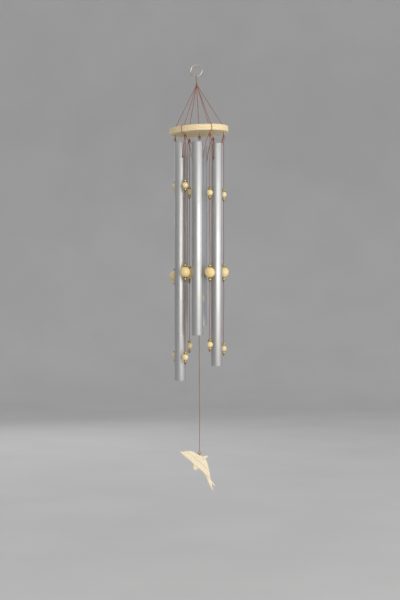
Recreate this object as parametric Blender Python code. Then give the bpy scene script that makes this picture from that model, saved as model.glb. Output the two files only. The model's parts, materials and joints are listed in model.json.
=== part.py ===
"""Wind chime: six aluminium tubes, six bead strings and a wooden dolphin sail
under a pine disc, hung from a steel ring.

Metres, +Z up. The origin is the top of the ring's eye, where a hook holds it.
The front is -Y, and an angle round the disc is counted from the front towards +X.
"""
import math

import bmesh
import bpy
from mathutils import Matrix, Vector

# ---------------------------------------------------------------- sizes
GAP = 0.0003                 # clearance between pieces that touch
CORD_D = 0.0013
CORD_R = CORD_D / 2

RING_R = 0.01125             # centre line of the steel ring
RING_WIRE_R = 0.00125
RING_Z = RING_WIRE_R - RING_R
PIVOT_Z = RING_Z - RING_R    # centre of the wire at the ring's lowest point

LOOP_R = RING_WIRE_R + CORD_R + 2 * GAP
APEX_DROP = 0.0165           # ring wire to the gathering knot
APEX_Z = PIVOT_Z - APEX_DROP
APEX_KNOT_R = 0.0038

DISC_R = 0.0585
DISC_THICK = 0.012
DISC_EDGE = 0.0012           # rounding of the rim
DISC_TOP_Z = APEX_Z - 0.086
DISC_Z = DISC_TOP_Z - DISC_THICK
HOLE_R = 0.0023

RIM_KNOT_R = 0.0033
RIM_KNOT_DROP = 0.0072
KNOT_CIRCLE_R = 0.0486

TUBE_R = 0.011
TUBE_WALL = 0.0015
TUBE_HOLE_R = 0.0018
TUBE_HOLE_DROP = 0.030       # tube top to the cord holes

SMALL_WOOD_R = 0.0060
SMALL_BRASS_R = 0.0032
SMALL_PITCH = 0.0087         # wood centre to brass centre
LARGE_WOOD_R = 0.0104
LARGE_BRASS_R = 0.0034
LARGE_PITCH = 0.0135
BEAD_BORE_R = 0.00108
END_KNOT_R = 0.0019

CLAPPER_SMALL_DROP = 0.152   # all drops are counted from the disc's underside
STRIKER_DROP = 0.328
SAIL_BEAD_DROP = 0.6378
DOLPHIN_DROP = 0.6420        # its back, where the cord goes in
DOLPHIN_THICK = 0.010
DOLPHIN_EDGE = 0.0015
DOLPHIN_YAW = math.radians(6)
DOLPHIN_HOLE_DEPTH = 0.006
DOLPHIN_BALANCE = 0.0017     # sets the outline's centre of mass under its cord

CANOPY_TILT = math.radians(3)   # the disc hangs with its left side low
CORD_WAVE = 0.0006           # how far a slack cord strays between its beads

ROUND_SIDES = 48
TUBE_SIDES = 28
BEAD_SIDES = 8
KNOT_SIDES = 8

# name, angle from the front in degrees, length, drop of its top
TUBES = (
    ("front", 0, 0.381, 0.0208),
    ("front_right", 60, 0.441, 0.0220),
    ("back_right", 120, 0.348, 0.0205),
    ("back", 180, 0.364, 0.0200),
    ("back_left", -120, 0.420, 0.0200),
    ("front_left", -60, 0.473, 0.0188),
)

# name, angle, drops of its small, large and lowest bead groups
STRINGS = (
    ("front_right", 30, 0.121, 0.278, 0.420),
    ("right", 90, 0.122, 0.277, 0.429),
    ("back_right", 150, 0.113, 0.279, 0.432),
    ("back_left", -150, 0.113, 0.279, 0.425),
    ("left", -90, 0.105, 0.285, 0.444),
    ("front_left", -30, 0.106, 0.277, 0.445),
)
WRAPPED = ("front_right", "front_left")   # these hangers go round the rim as well

# Dolphin outline in mm from the cord's hole, +x to the tail. A corner is marked 1.
DOLPHIN_OUTLINE = (
    (-37.0, 6.8, 1), (-33.4, 6.9, 0), (-30.0, 5.8, 1), (-26.0, 7.2, 0),
    (-19.4, 7.9, 0), (-13.0, 6.9, 0), (-6.5, 3.9, 0), (0.0, 0.2, 0),
    (4.8, -2.0, 0), (9.0, -2.6, 0), (18.4, -1.0, 1), (18.8, -3.4, 1),
    (14.4, -6.8, 0), (16.0, -11.8, 0), (18.2, -19.4, 0), (20.4, -28.0, 0),
    (22.2, -36.5, 0), (23.4, -44.0, 0), (25.2, -51.0, 0), (29.0, -55.8, 0),
    (34.0, -62.6, 1), (30.2, -60.2, 0), (26.8, -57.0, 1), (27.4, -64.0, 0),
    (30.6, -72.8, 1), (24.4, -65.0, 0), (20.0, -57.4, 0), (17.2, -49.8, 0),
    (13.4, -41.0, 0), (7.4, -34.0, 0), (-0.6, -27.0, 1), (-7.4, -30.8, 1),
    (-11.2, -27.4, 1), (-11.2, -17.2, 1), (-19.4, -9.8, 0), (-30.5, -0.4, 0),
)


# ---------------------------------------------------------------- helpers
AT_PIVOT = Matrix.Translation((0.0, 0.0, PIVOT_Z))
TILT = AT_PIVOT @ Matrix.Rotation(-CANOPY_TILT, 4, "Y") @ AT_PIVOT.inverted()


def material(name, rgb, roughness, metallic=0.0):
    """A Principled BSDF material with one colour."""
    found = bpy.data.materials.get(name)
    if found:
        return found
    made = bpy.data.materials.new(name)
    made.use_nodes = True
    shader = made.node_tree.nodes["Principled BSDF"]
    shader.inputs["Base Color"].default_value = (*rgb, 1.0)
    shader.inputs["Roughness"].default_value = roughness
    shader.inputs["Metallic"].default_value = metallic
    return made


def aluminium():
    return material("satin_aluminium", (0.62, 0.63, 0.64), 0.32, 1.0)


def steel():
    return material("nickel_plated_steel", (0.55, 0.55, 0.54), 0.25, 1.0)


def pine():
    return material("pale_pine", (0.80, 0.70, 0.48), 0.55)


def bead_wood():
    return material("bead_wood", (0.78, 0.58, 0.28), 0.45)


def brass():
    return material("polished_brass", (0.75, 0.52, 0.16), 0.22, 1.0)


def cord_nylon():
    return material("rust_cord", (0.16, 0.06, 0.035), 0.75)


def finish(name, mesh, look, parent=None, smooth=True):
    """Makes the mesh an object, moved so that its origin is its parent's."""
    body = bpy.data.objects.new(name, mesh)
    bpy.context.scene.collection.objects.link(body)
    mesh.materials.append(look)
    if smooth:
        mesh.shade_smooth()
        mesh.set_sharp_from_angle(angle=math.radians(40))
    if parent:
        mesh.transform(Matrix.Translation(-parent["at"]))
        body.parent = parent["empty"]
    return body


def pivot(name, at, above=None):
    """An empty on a joint's axis. Its children are modelled in world places."""
    empty = bpy.data.objects.new(name, None)
    empty.empty_display_size = 0.01
    bpy.context.scene.collection.objects.link(empty)
    place = Vector(at)
    empty.location = place - above["at"] if above else place
    if above:
        empty.parent = above["empty"]
    return {"empty": empty, "at": place}


def polar(angle, tangent, radius, z):
    """A place from its angle, its tangential and radial distances and its height."""
    across = Vector((math.cos(angle), math.sin(angle), 0.0))
    outward = Vector((math.sin(angle), -math.cos(angle), 0.0))
    return across * tangent + outward * radius + Vector((0.0, 0.0, z))


def rim_knot_at(angle):
    """The knot under a rim hole of the tilted disc."""
    return TILT @ polar(angle, 0.0, KNOT_CIRCLE_R, DISC_Z - RIM_KNOT_DROP)


def centre_knot_at():
    return TILT @ Vector((0.0, 0.0, DISC_Z - RIM_KNOT_DROP))


def below(place, z):
    """The point straight below a place at a given height."""
    return Vector((place.x, place.y, z))


def smooth_route(points, per_span):
    """Points along a centripetal Catmull-Rom curve through the given points."""
    padded = [points[0] * 2 - points[1], *points, points[-1] * 2 - points[-2]]
    route = []
    for index in range(1, len(padded) - 2):
        p0, p1, p2, p3 = padded[index - 1:index + 3]
        t1 = (p1 - p0).length ** 0.5
        t2 = t1 + (p2 - p1).length ** 0.5
        t3 = t2 + (p3 - p2).length ** 0.5
        for step in range(per_span):
            t = t1 + (t2 - t1) * step / per_span
            a1 = p0 * ((t1 - t) / t1) + p1 * (t / t1)
            a2 = p1 * ((t2 - t) / (t2 - t1)) + p2 * ((t - t1) / (t2 - t1))
            a3 = p2 * ((t3 - t) / (t3 - t2)) + p3 * ((t - t2) / (t3 - t2))
            b1 = a1 * ((t2 - t) / t2) + a2 * (t / t2)
            b2 = a2 * ((t3 - t) / (t3 - t1)) + a3 * ((t - t1) / (t3 - t1))
            route.append(b1 * ((t2 - t) / (t2 - t1)) + b2 * ((t - t1) / (t2 - t1)))
    route.append(points[-1])
    return route


def cord(name, route, parent):
    """A plain cord: a round tube with filled ends along the route."""
    curve = bpy.data.curves.new(name, "CURVE")
    curve.dimensions = "3D"
    curve.bevel_depth = CORD_R
    curve.bevel_resolution = 2
    curve.use_fill_caps = True
    spline = curve.splines.new("POLY")
    spline.points.add(len(route) - 1)
    for point, place in zip(spline.points, route):
        point.co = (*(place - parent["at"]), 1.0)
    curve.materials.append(cord_nylon())
    body = bpy.data.objects.new(name, curve)
    bpy.context.scene.collection.objects.link(body)
    body.parent = parent["empty"]
    return body


def turned(name, profile, sides, centre):
    """Turns a profile of (radius, height) about the vertical through the centre.

    A profile whose ends lie on the axis gives a ball, any other a hollow ring.
    """
    work = bmesh.new()
    rings = []
    for radius, height in profile:
        if radius == 0.0:
            rings.append([work.verts.new(centre + Vector((0.0, 0.0, height)))])
            continue
        ring = []
        for side in range(sides):
            turn = 2 * math.pi * side / sides
            offset = Vector((radius * math.cos(turn), radius * math.sin(turn), height))
            ring.append(work.verts.new(centre + offset))
        rings.append(ring)
    pairs = list(zip(rings, rings[1:]))
    if len(rings[0]) > 1:
        pairs.append((rings[-1], rings[0]))
    for low, high in pairs:
        for side in range(sides):
            after = (side + 1) % sides
            corners = [low[side % len(low)]]
            if len(low) > 1:
                corners.append(low[after])
            if len(high) > 1:
                corners.append(high[after])
            corners.append(high[side % len(high)])
            work.faces.new(corners)
    bmesh.ops.recalc_face_normals(work, faces=work.faces)
    mesh = bpy.data.meshes.new(name)
    work.to_mesh(mesh)
    work.free()
    return mesh


def ball_profile(radius, steps):
    """Half a circle from the lower pole to the upper one."""
    arc = [math.pi * step / steps for step in range(steps + 1)]
    profile = [(radius * math.sin(a), -radius * math.cos(a)) for a in arc]
    profile[0] = (0.0, -radius)
    profile[-1] = (0.0, radius)
    return profile


def knot(name, place, radius, parent):
    mesh = turned(name, ball_profile(radius, 5), KNOT_SIDES, place)
    return finish(name, mesh, cord_nylon(), parent)


def cutter(name, mesh):
    """A hidden body that a Boolean cuts away."""
    body = bpy.data.objects.new(name, mesh)
    bpy.context.scene.collection.objects.link(body)
    body.hide_render = True
    body.display_type = "WIRE"
    return body


def bore(name, place, axis, radius, length, sides=10):
    """A cutter for a round hole along the axis, centred on the place."""
    work = bmesh.new()
    turn = Vector((0.0, 0.0, 1.0)).rotation_difference(Vector(axis)).to_matrix().to_4x4()
    bmesh.ops.create_cone(
        work, cap_ends=True, segments=sides, radius1=radius, radius2=radius, depth=length,
        matrix=Matrix.Translation(place) @ turn,
    )
    mesh = bpy.data.meshes.new(name)
    work.to_mesh(mesh)
    work.free()
    return cutter(name, mesh)


def boolean(body, tool, operation="DIFFERENCE"):
    cut = body.modifiers.new(tool.name, "BOOLEAN")
    cut.operation = operation
    cut.solver = "EXACT"
    cut.object = tool


# ---------------------------------------------------------------- hanging gear
def hang_ring():
    """The split-free steel ring that a hook holds."""
    sides, wire_sides = 28, 8
    work = bmesh.new()
    grid = []
    for step in range(sides):
        turn = 2 * math.pi * step / sides
        row = []
        for wire in range(wire_sides):
            roll = 2 * math.pi * wire / wire_sides
            reach = RING_R + RING_WIRE_R * math.cos(roll)
            place = (reach * math.sin(turn), RING_WIRE_R * math.sin(roll),
                     RING_Z + reach * math.cos(turn))
            row.append(work.verts.new(place))
        grid.append(row)
    for step in range(sides):
        for wire in range(wire_sides):
            row, after = grid[step], grid[(step + 1) % sides]
            turn = (wire + 1) % wire_sides
            work.faces.new((row[wire], after[wire], after[turn], row[turn]))
    bmesh.ops.recalc_face_normals(work, faces=work.faces)
    mesh = bpy.data.meshes.new("hang_ring")
    work.to_mesh(mesh)
    work.free()
    return finish("hang_ring", mesh, steel())


def loop_route():
    """Up from the gathering knot, over the ring's wire and down again."""
    over = []
    for degrees in range(0, 181, 20):
        turn = math.radians(degrees)
        over.append(Vector((0.0, LOOP_R * math.cos(turn), PIVOT_Z + LOOP_R * math.sin(turn))))
    leg = [Vector((0.0, 0.0011, APEX_Z + 0.0025)), Vector((0.0, 0.0015, APEX_Z + 0.0075))]
    mirrored = [Vector((0.0, -place.y, place.z)) for place in reversed(leg)]
    return smooth_route([TILT @ place for place in leg + over + mirrored], 2)


def hanging_loop(parent):
    """The cord loop through the ring with the knot that gathers all the cords."""
    body = cord("hanging_loop", loop_route(), parent)
    body.data.materials.clear()
    bpy.context.view_layer.update()
    graph = bpy.context.evaluated_depsgraph_get()
    mesh = bpy.data.meshes.new_from_object(body.evaluated_get(graph))
    curve = body.data
    bpy.data.objects.remove(body)
    bpy.data.curves.remove(curve)
    mesh.transform(Matrix.Translation(parent["at"]))
    loop = finish("hanging_loop", mesh, cord_nylon(), parent)
    at_knot = TILT @ Vector((0.0, 0.0, APEX_Z))
    ball = turned("apex_knot_tool", ball_profile(APEX_KNOT_R, 7), 12, at_knot)
    boolean(loop, cutter("apex_knot_tool", ball), "UNION")
    return loop


def hanger_route(angle, wrapped):
    """From the gathering knot through the rim hole. A wrapped one goes round the rim too."""
    side, reach = 0.00095 if wrapped else 0.0, KNOT_CIRCLE_R
    rim = DISC_R + CORD_R + 1.5 * GAP
    over = DISC_TOP_Z + CORD_R + 1.5 * GAP
    under = DISC_Z - CORD_R - 1.5 * GAP
    fall = Vector((reach, 0.0, DISC_TOP_Z - APEX_Z)).normalized()
    start = (APEX_KNOT_R + GAP) * fall
    through = [
        (0.0, start.x, APEX_Z + start.z),
        (-side / 2, reach / 2, (APEX_Z + DISC_TOP_Z) / 2),
        (-side, reach - 0.0014, DISC_TOP_Z + 0.0026),
        (-side, reach, DISC_TOP_Z - 0.0010),
        (-side, reach, DISC_Z + 0.0010),
    ]
    around = [
        (-side, reach + 0.0010, under - 0.0003),
        (-side / 2, reach + 0.0045, under),
        (0.0, DISC_R - 0.0015, under),
        (0.0, rim, DISC_Z + 0.0012),
        (0.0, rim, DISC_TOP_Z - 0.0012),
        (0.0, DISC_R - 0.0015, over),
        (side / 2, reach + 0.0045, over),
        (side, reach + 0.0008, over - 0.0002),
        (side, reach, DISC_TOP_Z - 0.0016),
        (side, reach, DISC_Z - 0.0004),
    ]
    end = [(0.3 * side, reach, DISC_Z - RIM_KNOT_DROP + RIM_KNOT_R + 1.3 * GAP)]
    places = through + (around if wrapped else []) + end
    return smooth_route([TILT @ polar(angle, *place) for place in places], 2)


def centre_hanger_route():
    """Straight from the gathering knot through the middle of the disc."""
    top = APEX_Z - APEX_KNOT_R - GAP
    bottom = DISC_Z - RIM_KNOT_DROP + RIM_KNOT_R + GAP
    heights = [top + (bottom - top) * step / 8 for step in range(9)]
    return [TILT @ Vector((0.0, 0.0, height)) for height in heights]


def disc(parent):
    """The pine disc, with six rim holes and one in the middle."""
    side = DISC_R - DISC_EDGE
    edge = []
    for step in range(3):
        turn = math.pi / 2 * step / 2
        edge.append((side + DISC_EDGE * math.sin(turn), DISC_EDGE * (1 - math.cos(turn))))
    top = [(radius, DISC_THICK - height) for radius, height in reversed(edge)]
    profile = [(0.0, 0.0), *edge, *top, (0.0, DISC_THICK)]
    mesh = turned("disc", profile, ROUND_SIDES, Vector((0.0, 0.0, DISC_Z)))
    mesh.transform(TILT)
    body = finish("disc", mesh, pine(), parent)
    middle = DISC_Z + DISC_THICK / 2
    holes = [("disc_hole_centre", Vector((0.0, 0.0, middle)))]
    for name, angle, *_ in STRINGS:
        place = polar(math.radians(angle), 0.0, KNOT_CIRCLE_R, middle)
        holes.append((f"disc_hole_{name}", place))
    upright = TILT.to_3x3() @ Vector((0.0, 0.0, 1.0))
    for name, place in holes:
        boolean(body, bore(name, TILT @ place, upright, HOLE_R, DISC_THICK * 2))
    return body


# ---------------------------------------------------------------- tubes
def sling_knots(angle):
    """The two rim knots that a tube hangs between."""
    return rim_knot_at(angle - math.pi / 6), rim_knot_at(angle + math.pi / 6)


def sling_middle(angle):
    left, right = sling_knots(angle)
    return (left + right) / 2


def tube(name, angle, length, drop, parent):
    """One chime tube, cut square, with two cord holes across its width."""
    top = DISC_Z - drop
    inner = TUBE_R - TUBE_WALL
    profile = [(TUBE_R, 0.0), (TUBE_R, length), (inner, length), (inner, 0.0)]
    middle = sling_middle(angle)
    node = f"tube_{name}"
    mesh = turned(node, profile, TUBE_SIDES, below(middle, top - length))
    body = finish(node, mesh, aluminium(), parent)
    across = polar(angle, 1.0, 0.0, 0.0)
    place = below(middle, top - TUBE_HOLE_DROP)
    boolean(body, bore(f"{node}_hole", place, across, TUBE_HOLE_R, TUBE_R * 3, 8))
    return body


def sling_half(knot_place, hole, outward):
    """From a rim knot to the middle of the tube. outward points to that knot."""
    lean = math.radians(40)
    leave = RIM_KNOT_R + 1.3 * GAP
    from_knot = ((leave * math.sin(lean), leave * math.cos(lean)),
                 (0.0050, 0.0080), (0.0085, 0.0190))
    from_hole = ((TUBE_R + 0.0022, 0.0120), (TUBE_R + 0.0014, 0.0030),
                 (TUBE_R + 0.0003, 0.0003), (TUBE_R - 0.0030, 0.0))
    up = Vector((0.0, 0.0, 1.0))
    high = [knot_place - outward * across - up * fall for across, fall in from_knot]
    low = [hole + outward * across + up * rise for across, rise in from_hole]
    return high + low


def sling_route(angle, drop):
    """From one rim knot down through the tube and up to the next knot."""
    left, right = sling_knots(angle)
    hole = below(sling_middle(angle), DISC_Z - drop - TUBE_HOLE_DROP)
    across = polar(angle, 1.0, 0.0, 0.0)
    half = sling_half(left, hole, -across)
    other = sling_half(right, hole, across)
    return smooth_route(half + other[::-1], 2)


# ---------------------------------------------------------------- beads
def sphere_arc(radius, centre, low, high, steps):
    """The profile of a ball between two heights."""
    start = math.asin(max(-1.0, (low - centre) / radius))
    end = math.asin(min(1.0, (high - centre) / radius))
    arc = [start + (end - start) * step / steps for step in range(steps + 1)]
    return [(radius * math.cos(a), centre + radius * math.sin(a)) for a in arc]


def meeting_height(wood_r, brass_r, pitch):
    """How far from the wood bead's centre the two balls meet."""
    return (pitch ** 2 + wood_r ** 2 - brass_r ** 2) / (2 * pitch)


def group_profile(wood_r, brass_r, pitch):
    """Brass, wood and brass beads in a row, from the lowest point up."""
    meet = meeting_height(wood_r, brass_r, pitch)
    pole = pitch + math.sqrt(brass_r ** 2 - BEAD_BORE_R ** 2)
    lower = sphere_arc(brass_r, -pitch, -pole, -meet, 3)
    wood = sphere_arc(wood_r, 0.0, -meet, meet, 5)
    upper = sphere_arc(brass_r, pitch, meet, pole, 3)
    return lower + wood[1:-1] + upper


def bead_group(name, place, large, parent):
    """A wood bead between two brass ones, with the cord's bore through them."""
    sizes = (LARGE_WOOD_R, LARGE_BRASS_R, LARGE_PITCH)
    if not large:
        sizes = (SMALL_WOOD_R, SMALL_BRASS_R, SMALL_PITCH)
    mesh = turned(name, group_profile(*sizes), BEAD_SIDES + 2 * large, place)
    return finish(name, mesh, bead_wood(), parent)


def end_group(name, place, parent):
    """The lowest beads of a string, with the knot that holds them up."""
    beads = group_profile(SMALL_WOOD_R, SMALL_BRASS_R, SMALL_PITCH)
    foot = beads[0][1]
    knot_centre = foot - math.sqrt(END_KNOT_R ** 2 - BEAD_BORE_R ** 2)
    stopper = sphere_arc(END_KNOT_R, knot_centre, knot_centre - END_KNOT_R, foot, 3)
    stopper[0] = (0.0, knot_centre - END_KNOT_R)
    top = beads[-1][1]
    inside = [(BEAD_BORE_R, top), (BEAD_BORE_R, foot + GAP), (0.0, foot + GAP)]
    profile = stopper[:-1] + beads + inside[1:]
    mesh = turned(name, profile, BEAD_SIDES, place)
    return finish(name, mesh, bead_wood(), parent)


def group_reach(large):
    """Half the length of a bead group."""
    if large:
        return LARGE_PITCH + LARGE_BRASS_R
    return SMALL_PITCH + SMALL_BRASS_R


def string_route(angle, small_drop, large_drop, low_drop):
    """From the rim knot down through three bead groups, a little slack between."""
    knot_place = rim_knot_at(angle)
    stops = (
        knot_place.z - RIM_KNOT_R - GAP,
        DISC_Z - small_drop + group_reach(False),
        DISC_Z - small_drop - group_reach(False),
        DISC_Z - large_drop + group_reach(True),
        DISC_Z - large_drop - group_reach(True),
        DISC_Z - low_drop + group_reach(False),
        DISC_Z - low_drop - group_reach(False) + 0.0011,
    )
    route = []
    for index, (high, low) in enumerate(zip(stops, stops[1:])):
        slack = index % 2 == 0
        steps = 6 if slack else 1
        for step in range(steps):
            part = step / steps
            stray = CORD_WAVE * math.sin(2 * math.pi * part) if slack else 0.0
            turn = angle + 1.3 * index
            aside = Vector((stray * math.cos(turn), stray * math.sin(turn), 0.0))
            route.append(below(knot_place, high + (low - high) * part) + aside)
    route.append(below(knot_place, stops[-1]))
    return route


# ---------------------------------------------------------------- clapper and sail
def drop_route(high, low, phase, steps=8):
    """A hanging stretch of the middle cord, with a slight wave."""
    axis = centre_knot_at()
    route = []
    for step in range(steps + 1):
        part = step / steps
        stray = CORD_WAVE * math.sin(2 * math.pi * part)
        turn = phase + part
        aside = Vector((stray * math.cos(turn), stray * math.sin(turn), 0.0))
        route.append(below(axis, high + (low - high) * part) + aside)
    return route


def clapper_upper_route():
    """From the middle knot to the small bead group, and through it."""
    high = centre_knot_at().z - RIM_KNOT_R - GAP
    low = DISC_Z - CLAPPER_SMALL_DROP + group_reach(False)
    end = DISC_Z - CLAPPER_SMALL_DROP - group_reach(False)
    return drop_route(high, low, 0.4) + [below(centre_knot_at(), end)]


def clapper_lower_route():
    """From the small bead group to the striker, and through it."""
    high = DISC_Z - CLAPPER_SMALL_DROP - group_reach(False) - GAP
    low = DISC_Z - STRIKER_DROP + group_reach(True)
    end = DISC_Z - STRIKER_DROP - group_reach(True)
    return drop_route(high, low, 2.1) + [below(centre_knot_at(), end)]


def sail_route():
    """From the striker through the sail's bead into the dolphin's back."""
    high = DISC_Z - STRIKER_DROP - group_reach(True) - GAP
    low = DISC_Z - SAIL_BEAD_DROP + SMALL_BRASS_R
    end = DISC_Z - DOLPHIN_DROP - DOLPHIN_HOLE_DEPTH + GAP
    return drop_route(high, low, 4.0, 14) + [below(centre_knot_at(), end)]


def sail_bead(parent):
    """The brass bead that sits on the dolphin's back."""
    pole = math.sqrt(SMALL_BRASS_R ** 2 - BEAD_BORE_R ** 2)
    profile = sphere_arc(SMALL_BRASS_R, 0.0, -pole, pole, 6)
    place = below(centre_knot_at(), DISC_Z - SAIL_BEAD_DROP)
    return finish("sail_bead", turned("sail_bead", profile, 12, place), brass(), parent)


def dolphin_outline():
    """The closed outline in metres: smooth between its corners."""
    places = [Vector((x * 0.001 - DOLPHIN_BALANCE, 0.0, z * 0.001))
              for x, z, _ in DOLPHIN_OUTLINE]
    corners = [index for index, point in enumerate(DOLPHIN_OUTLINE) if point[2]]
    outline = []
    for start, end in zip(corners, corners[1:] + [corners[0] + len(places)]):
        stretch = [places[index % len(places)] for index in range(start, end + 1)]
        if len(stretch) > 2:
            outline += smooth_route(stretch, 2)[:-1]
        else:
            outline.append(stretch[0])
    return outline


def dolphin(parent):
    """The sail: a leaping dolphin sawn from a pine board, with eased edges."""
    work = bmesh.new()
    half = DOLPHIN_THICK / 2
    corners = [work.verts.new((place.x, -half, place.z)) for place in dolphin_outline()]
    face = work.faces.new(corners)
    grown = bmesh.ops.extrude_face_region(work, geom=[face])
    raised = [item for item in grown["geom"] if isinstance(item, bmesh.types.BMVert)]
    bmesh.ops.translate(work, vec=(0.0, DOLPHIN_THICK, 0.0), verts=raised)
    bmesh.ops.recalc_face_normals(work, faces=work.faces)
    mesh = bpy.data.meshes.new("dolphin")
    work.to_mesh(mesh)
    work.free()
    turn = Matrix.Rotation(DOLPHIN_YAW, 4, "Z")
    place = below(centre_knot_at(), DISC_Z - DOLPHIN_DROP)
    mesh.transform(Matrix.Translation(place) @ turn)
    body = finish("dolphin", mesh, pine(), parent, smooth=False)
    edge = body.modifiers.new("eased_edges", "BEVEL")
    edge.width = DOLPHIN_EDGE / 2
    edge.segments = 1
    edge.limit_method = "ANGLE"
    edge.angle_limit = math.radians(60)
    boolean(body, bore("dolphin_hole", place, (0, 0, 1), BEAD_BORE_R, DOLPHIN_HOLE_DEPTH * 2))
    return body


# ---------------------------------------------------------------- assembly
def build_canopy():
    """The disc with its hanger cords and knots: everything swings on the ring."""
    canopy = pivot("canopy_pivot", (0.0, 0.0, PIVOT_Z))
    hanging_loop(canopy)
    disc(canopy)
    cord("centre_hanger", centre_hanger_route(), canopy)
    knot("centre_knot", centre_knot_at(), RIM_KNOT_R, canopy)
    for name, degrees, *_ in STRINGS:
        angle = math.radians(degrees)
        cord(f"hanger_{name}", hanger_route(angle, name in WRAPPED), canopy)
        knot(f"knot_{name}", rim_knot_at(angle), RIM_KNOT_R, canopy)
    return canopy


def build_tubes(canopy):
    """Each tube hangs in its own sling, and rocks on the cord through its holes."""
    for name, degrees, length, drop in TUBES:
        angle = math.radians(degrees)
        middle = sling_middle(angle)
        sling = pivot(f"sling_pivot_{name}", middle, canopy)
        cord(f"sling_{name}", sling_route(angle, drop), sling)
        holes = below(middle, DISC_Z - drop - TUBE_HOLE_DROP)
        tube(name, angle, length, drop, pivot(f"tube_pivot_{name}", holes, sling))


def build_strings(canopy):
    """Six strings of beads, one on each rim knot."""
    for name, degrees, small_drop, large_drop, low_drop in STRINGS:
        angle = math.radians(degrees)
        knot_place = rim_knot_at(angle)
        string = pivot(f"string_pivot_{name}", knot_place, canopy)
        cord(f"string_{name}", string_route(angle, small_drop, large_drop, low_drop), string)
        at = [below(knot_place, DISC_Z - drop) for drop in (small_drop, large_drop, low_drop)]
        bead_group(f"beads_upper_{name}", at[0], False, string)
        bead_group(f"beads_large_{name}", at[1], True, string)
        end_group(f"beads_lower_{name}", at[2], string)


def build_clapper(canopy):
    """The middle cord: small beads, striker, and the dolphin that the wind turns."""
    axis = centre_knot_at()
    upper = pivot("clapper_pivot", axis, canopy)
    cord("clapper_cord_upper", clapper_upper_route(), upper)
    at_small = below(axis, DISC_Z - CLAPPER_SMALL_DROP)
    bead_group("clapper_beads", at_small, False, upper)
    foot = below(axis, at_small.z - group_reach(False))
    lower = pivot("striker_pivot", foot, upper)
    cord("clapper_cord_lower", clapper_lower_route(), lower)
    at_striker = below(axis, DISC_Z - STRIKER_DROP)
    bead_group("striker", at_striker, True, lower)
    under = below(axis, at_striker.z - group_reach(True))
    sail = pivot("sail_pivot", under, lower)
    cord("sail_cord", sail_route(), sail)
    sail_bead(sail)
    back = below(axis, DISC_Z - DOLPHIN_DROP)
    dolphin(pivot("dolphin_pivot", back, sail))


for old in list(bpy.data.objects):
    bpy.data.objects.remove(old)
hang_ring()
the_canopy = build_canopy()
build_tubes(the_canopy)
build_strings(the_canopy)
build_clapper(the_canopy)
bpy.context.view_layer.update()
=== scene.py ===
# %% [markdown]
# # A wind chime: aluminium tubes, wooden beads and a leaping dolphin
# The real chime is a pine disc hung by seven cords from a steel ring. Six tubes and six
# strings of beads hang from the disc, and a clapper cord in the middle ends in a wooden
# dolphin that the wind pushes. This lesson dresses a plain engineering model of it. That
# model is loaded first, and every size and place below is read from it or shared with it.

# %% Load the engineering model and keep its box
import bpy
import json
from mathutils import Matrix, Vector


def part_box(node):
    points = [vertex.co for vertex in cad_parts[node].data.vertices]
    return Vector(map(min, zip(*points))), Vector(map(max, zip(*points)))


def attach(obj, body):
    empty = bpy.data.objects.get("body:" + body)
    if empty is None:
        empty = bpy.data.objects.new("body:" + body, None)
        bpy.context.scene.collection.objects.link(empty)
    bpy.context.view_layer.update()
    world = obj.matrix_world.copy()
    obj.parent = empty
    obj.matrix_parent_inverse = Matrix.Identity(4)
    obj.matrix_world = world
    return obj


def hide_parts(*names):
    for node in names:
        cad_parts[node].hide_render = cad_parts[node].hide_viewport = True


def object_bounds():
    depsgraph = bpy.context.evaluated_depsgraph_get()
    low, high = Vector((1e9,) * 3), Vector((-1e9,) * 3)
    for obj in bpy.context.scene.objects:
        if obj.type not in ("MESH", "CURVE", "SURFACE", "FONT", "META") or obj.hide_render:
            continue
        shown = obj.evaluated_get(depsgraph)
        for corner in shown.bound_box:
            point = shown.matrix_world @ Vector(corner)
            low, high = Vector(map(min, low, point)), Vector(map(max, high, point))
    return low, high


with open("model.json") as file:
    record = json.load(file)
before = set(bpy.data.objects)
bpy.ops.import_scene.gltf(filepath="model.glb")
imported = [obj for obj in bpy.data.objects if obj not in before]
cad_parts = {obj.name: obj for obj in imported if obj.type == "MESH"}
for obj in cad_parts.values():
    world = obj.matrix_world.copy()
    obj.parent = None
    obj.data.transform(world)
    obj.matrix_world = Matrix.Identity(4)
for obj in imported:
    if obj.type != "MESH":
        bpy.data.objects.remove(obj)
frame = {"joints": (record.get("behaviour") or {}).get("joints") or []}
cad_box = [list(corner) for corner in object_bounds()]

import json
import math
import random

import bmesh
import bpy
from mathutils import Matrix, Vector
from mathutils.geometry import delaunay_2d_cdt

MM = 0.001
anchors = {joint["name"]: Vector(joint["pos_m"]) for joint in frame["joints"]}


# %% [markdown]
# ## Camera
# A long lens far away keeps the tubes parallel. The camera stands level with the lower
# half of the tubes, so it looks up at the disc and down at the dolphin. It could also be
# aimed with a Track To constraint, but a plain place and turn is easier to read and never
# drifts.

# %% Place the camera
def middle(node):
    """The middle of a CAD node's box."""
    low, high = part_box(node)
    return (Vector(low) + Vector(high)) / 2


CAMERA_TURN = math.radians(5.2)
CAMERA_DISTANCE = 2.742
CAMERA_LEVEL = -0.468
CAMERA_ASIDE = 0.0012
CAMERA_LENS = 82.3

across_view = Vector((math.cos(CAMERA_TURN), math.sin(CAMERA_TURN), 0.0))
towards_camera = Vector((math.sin(CAMERA_TURN), -math.cos(CAMERA_TURN), 0.0))
aim = middle("sail_bead") + across_view * CAMERA_ASIDE
aim.z = CAMERA_LEVEL

camera = bpy.data.objects.new("camera", bpy.data.cameras.new("camera"))
bpy.context.scene.collection.objects.link(camera)
camera.location = aim + towards_camera * CAMERA_DISTANCE
camera.rotation_euler = (math.pi / 2, 0.0, CAMERA_TURN)
camera.data.lens = CAMERA_LENS
camera.data.clip_end = 50.0
bpy.context.scene.camera = camera
print("camera at", [round(value, 3) for value in camera.location])


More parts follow.
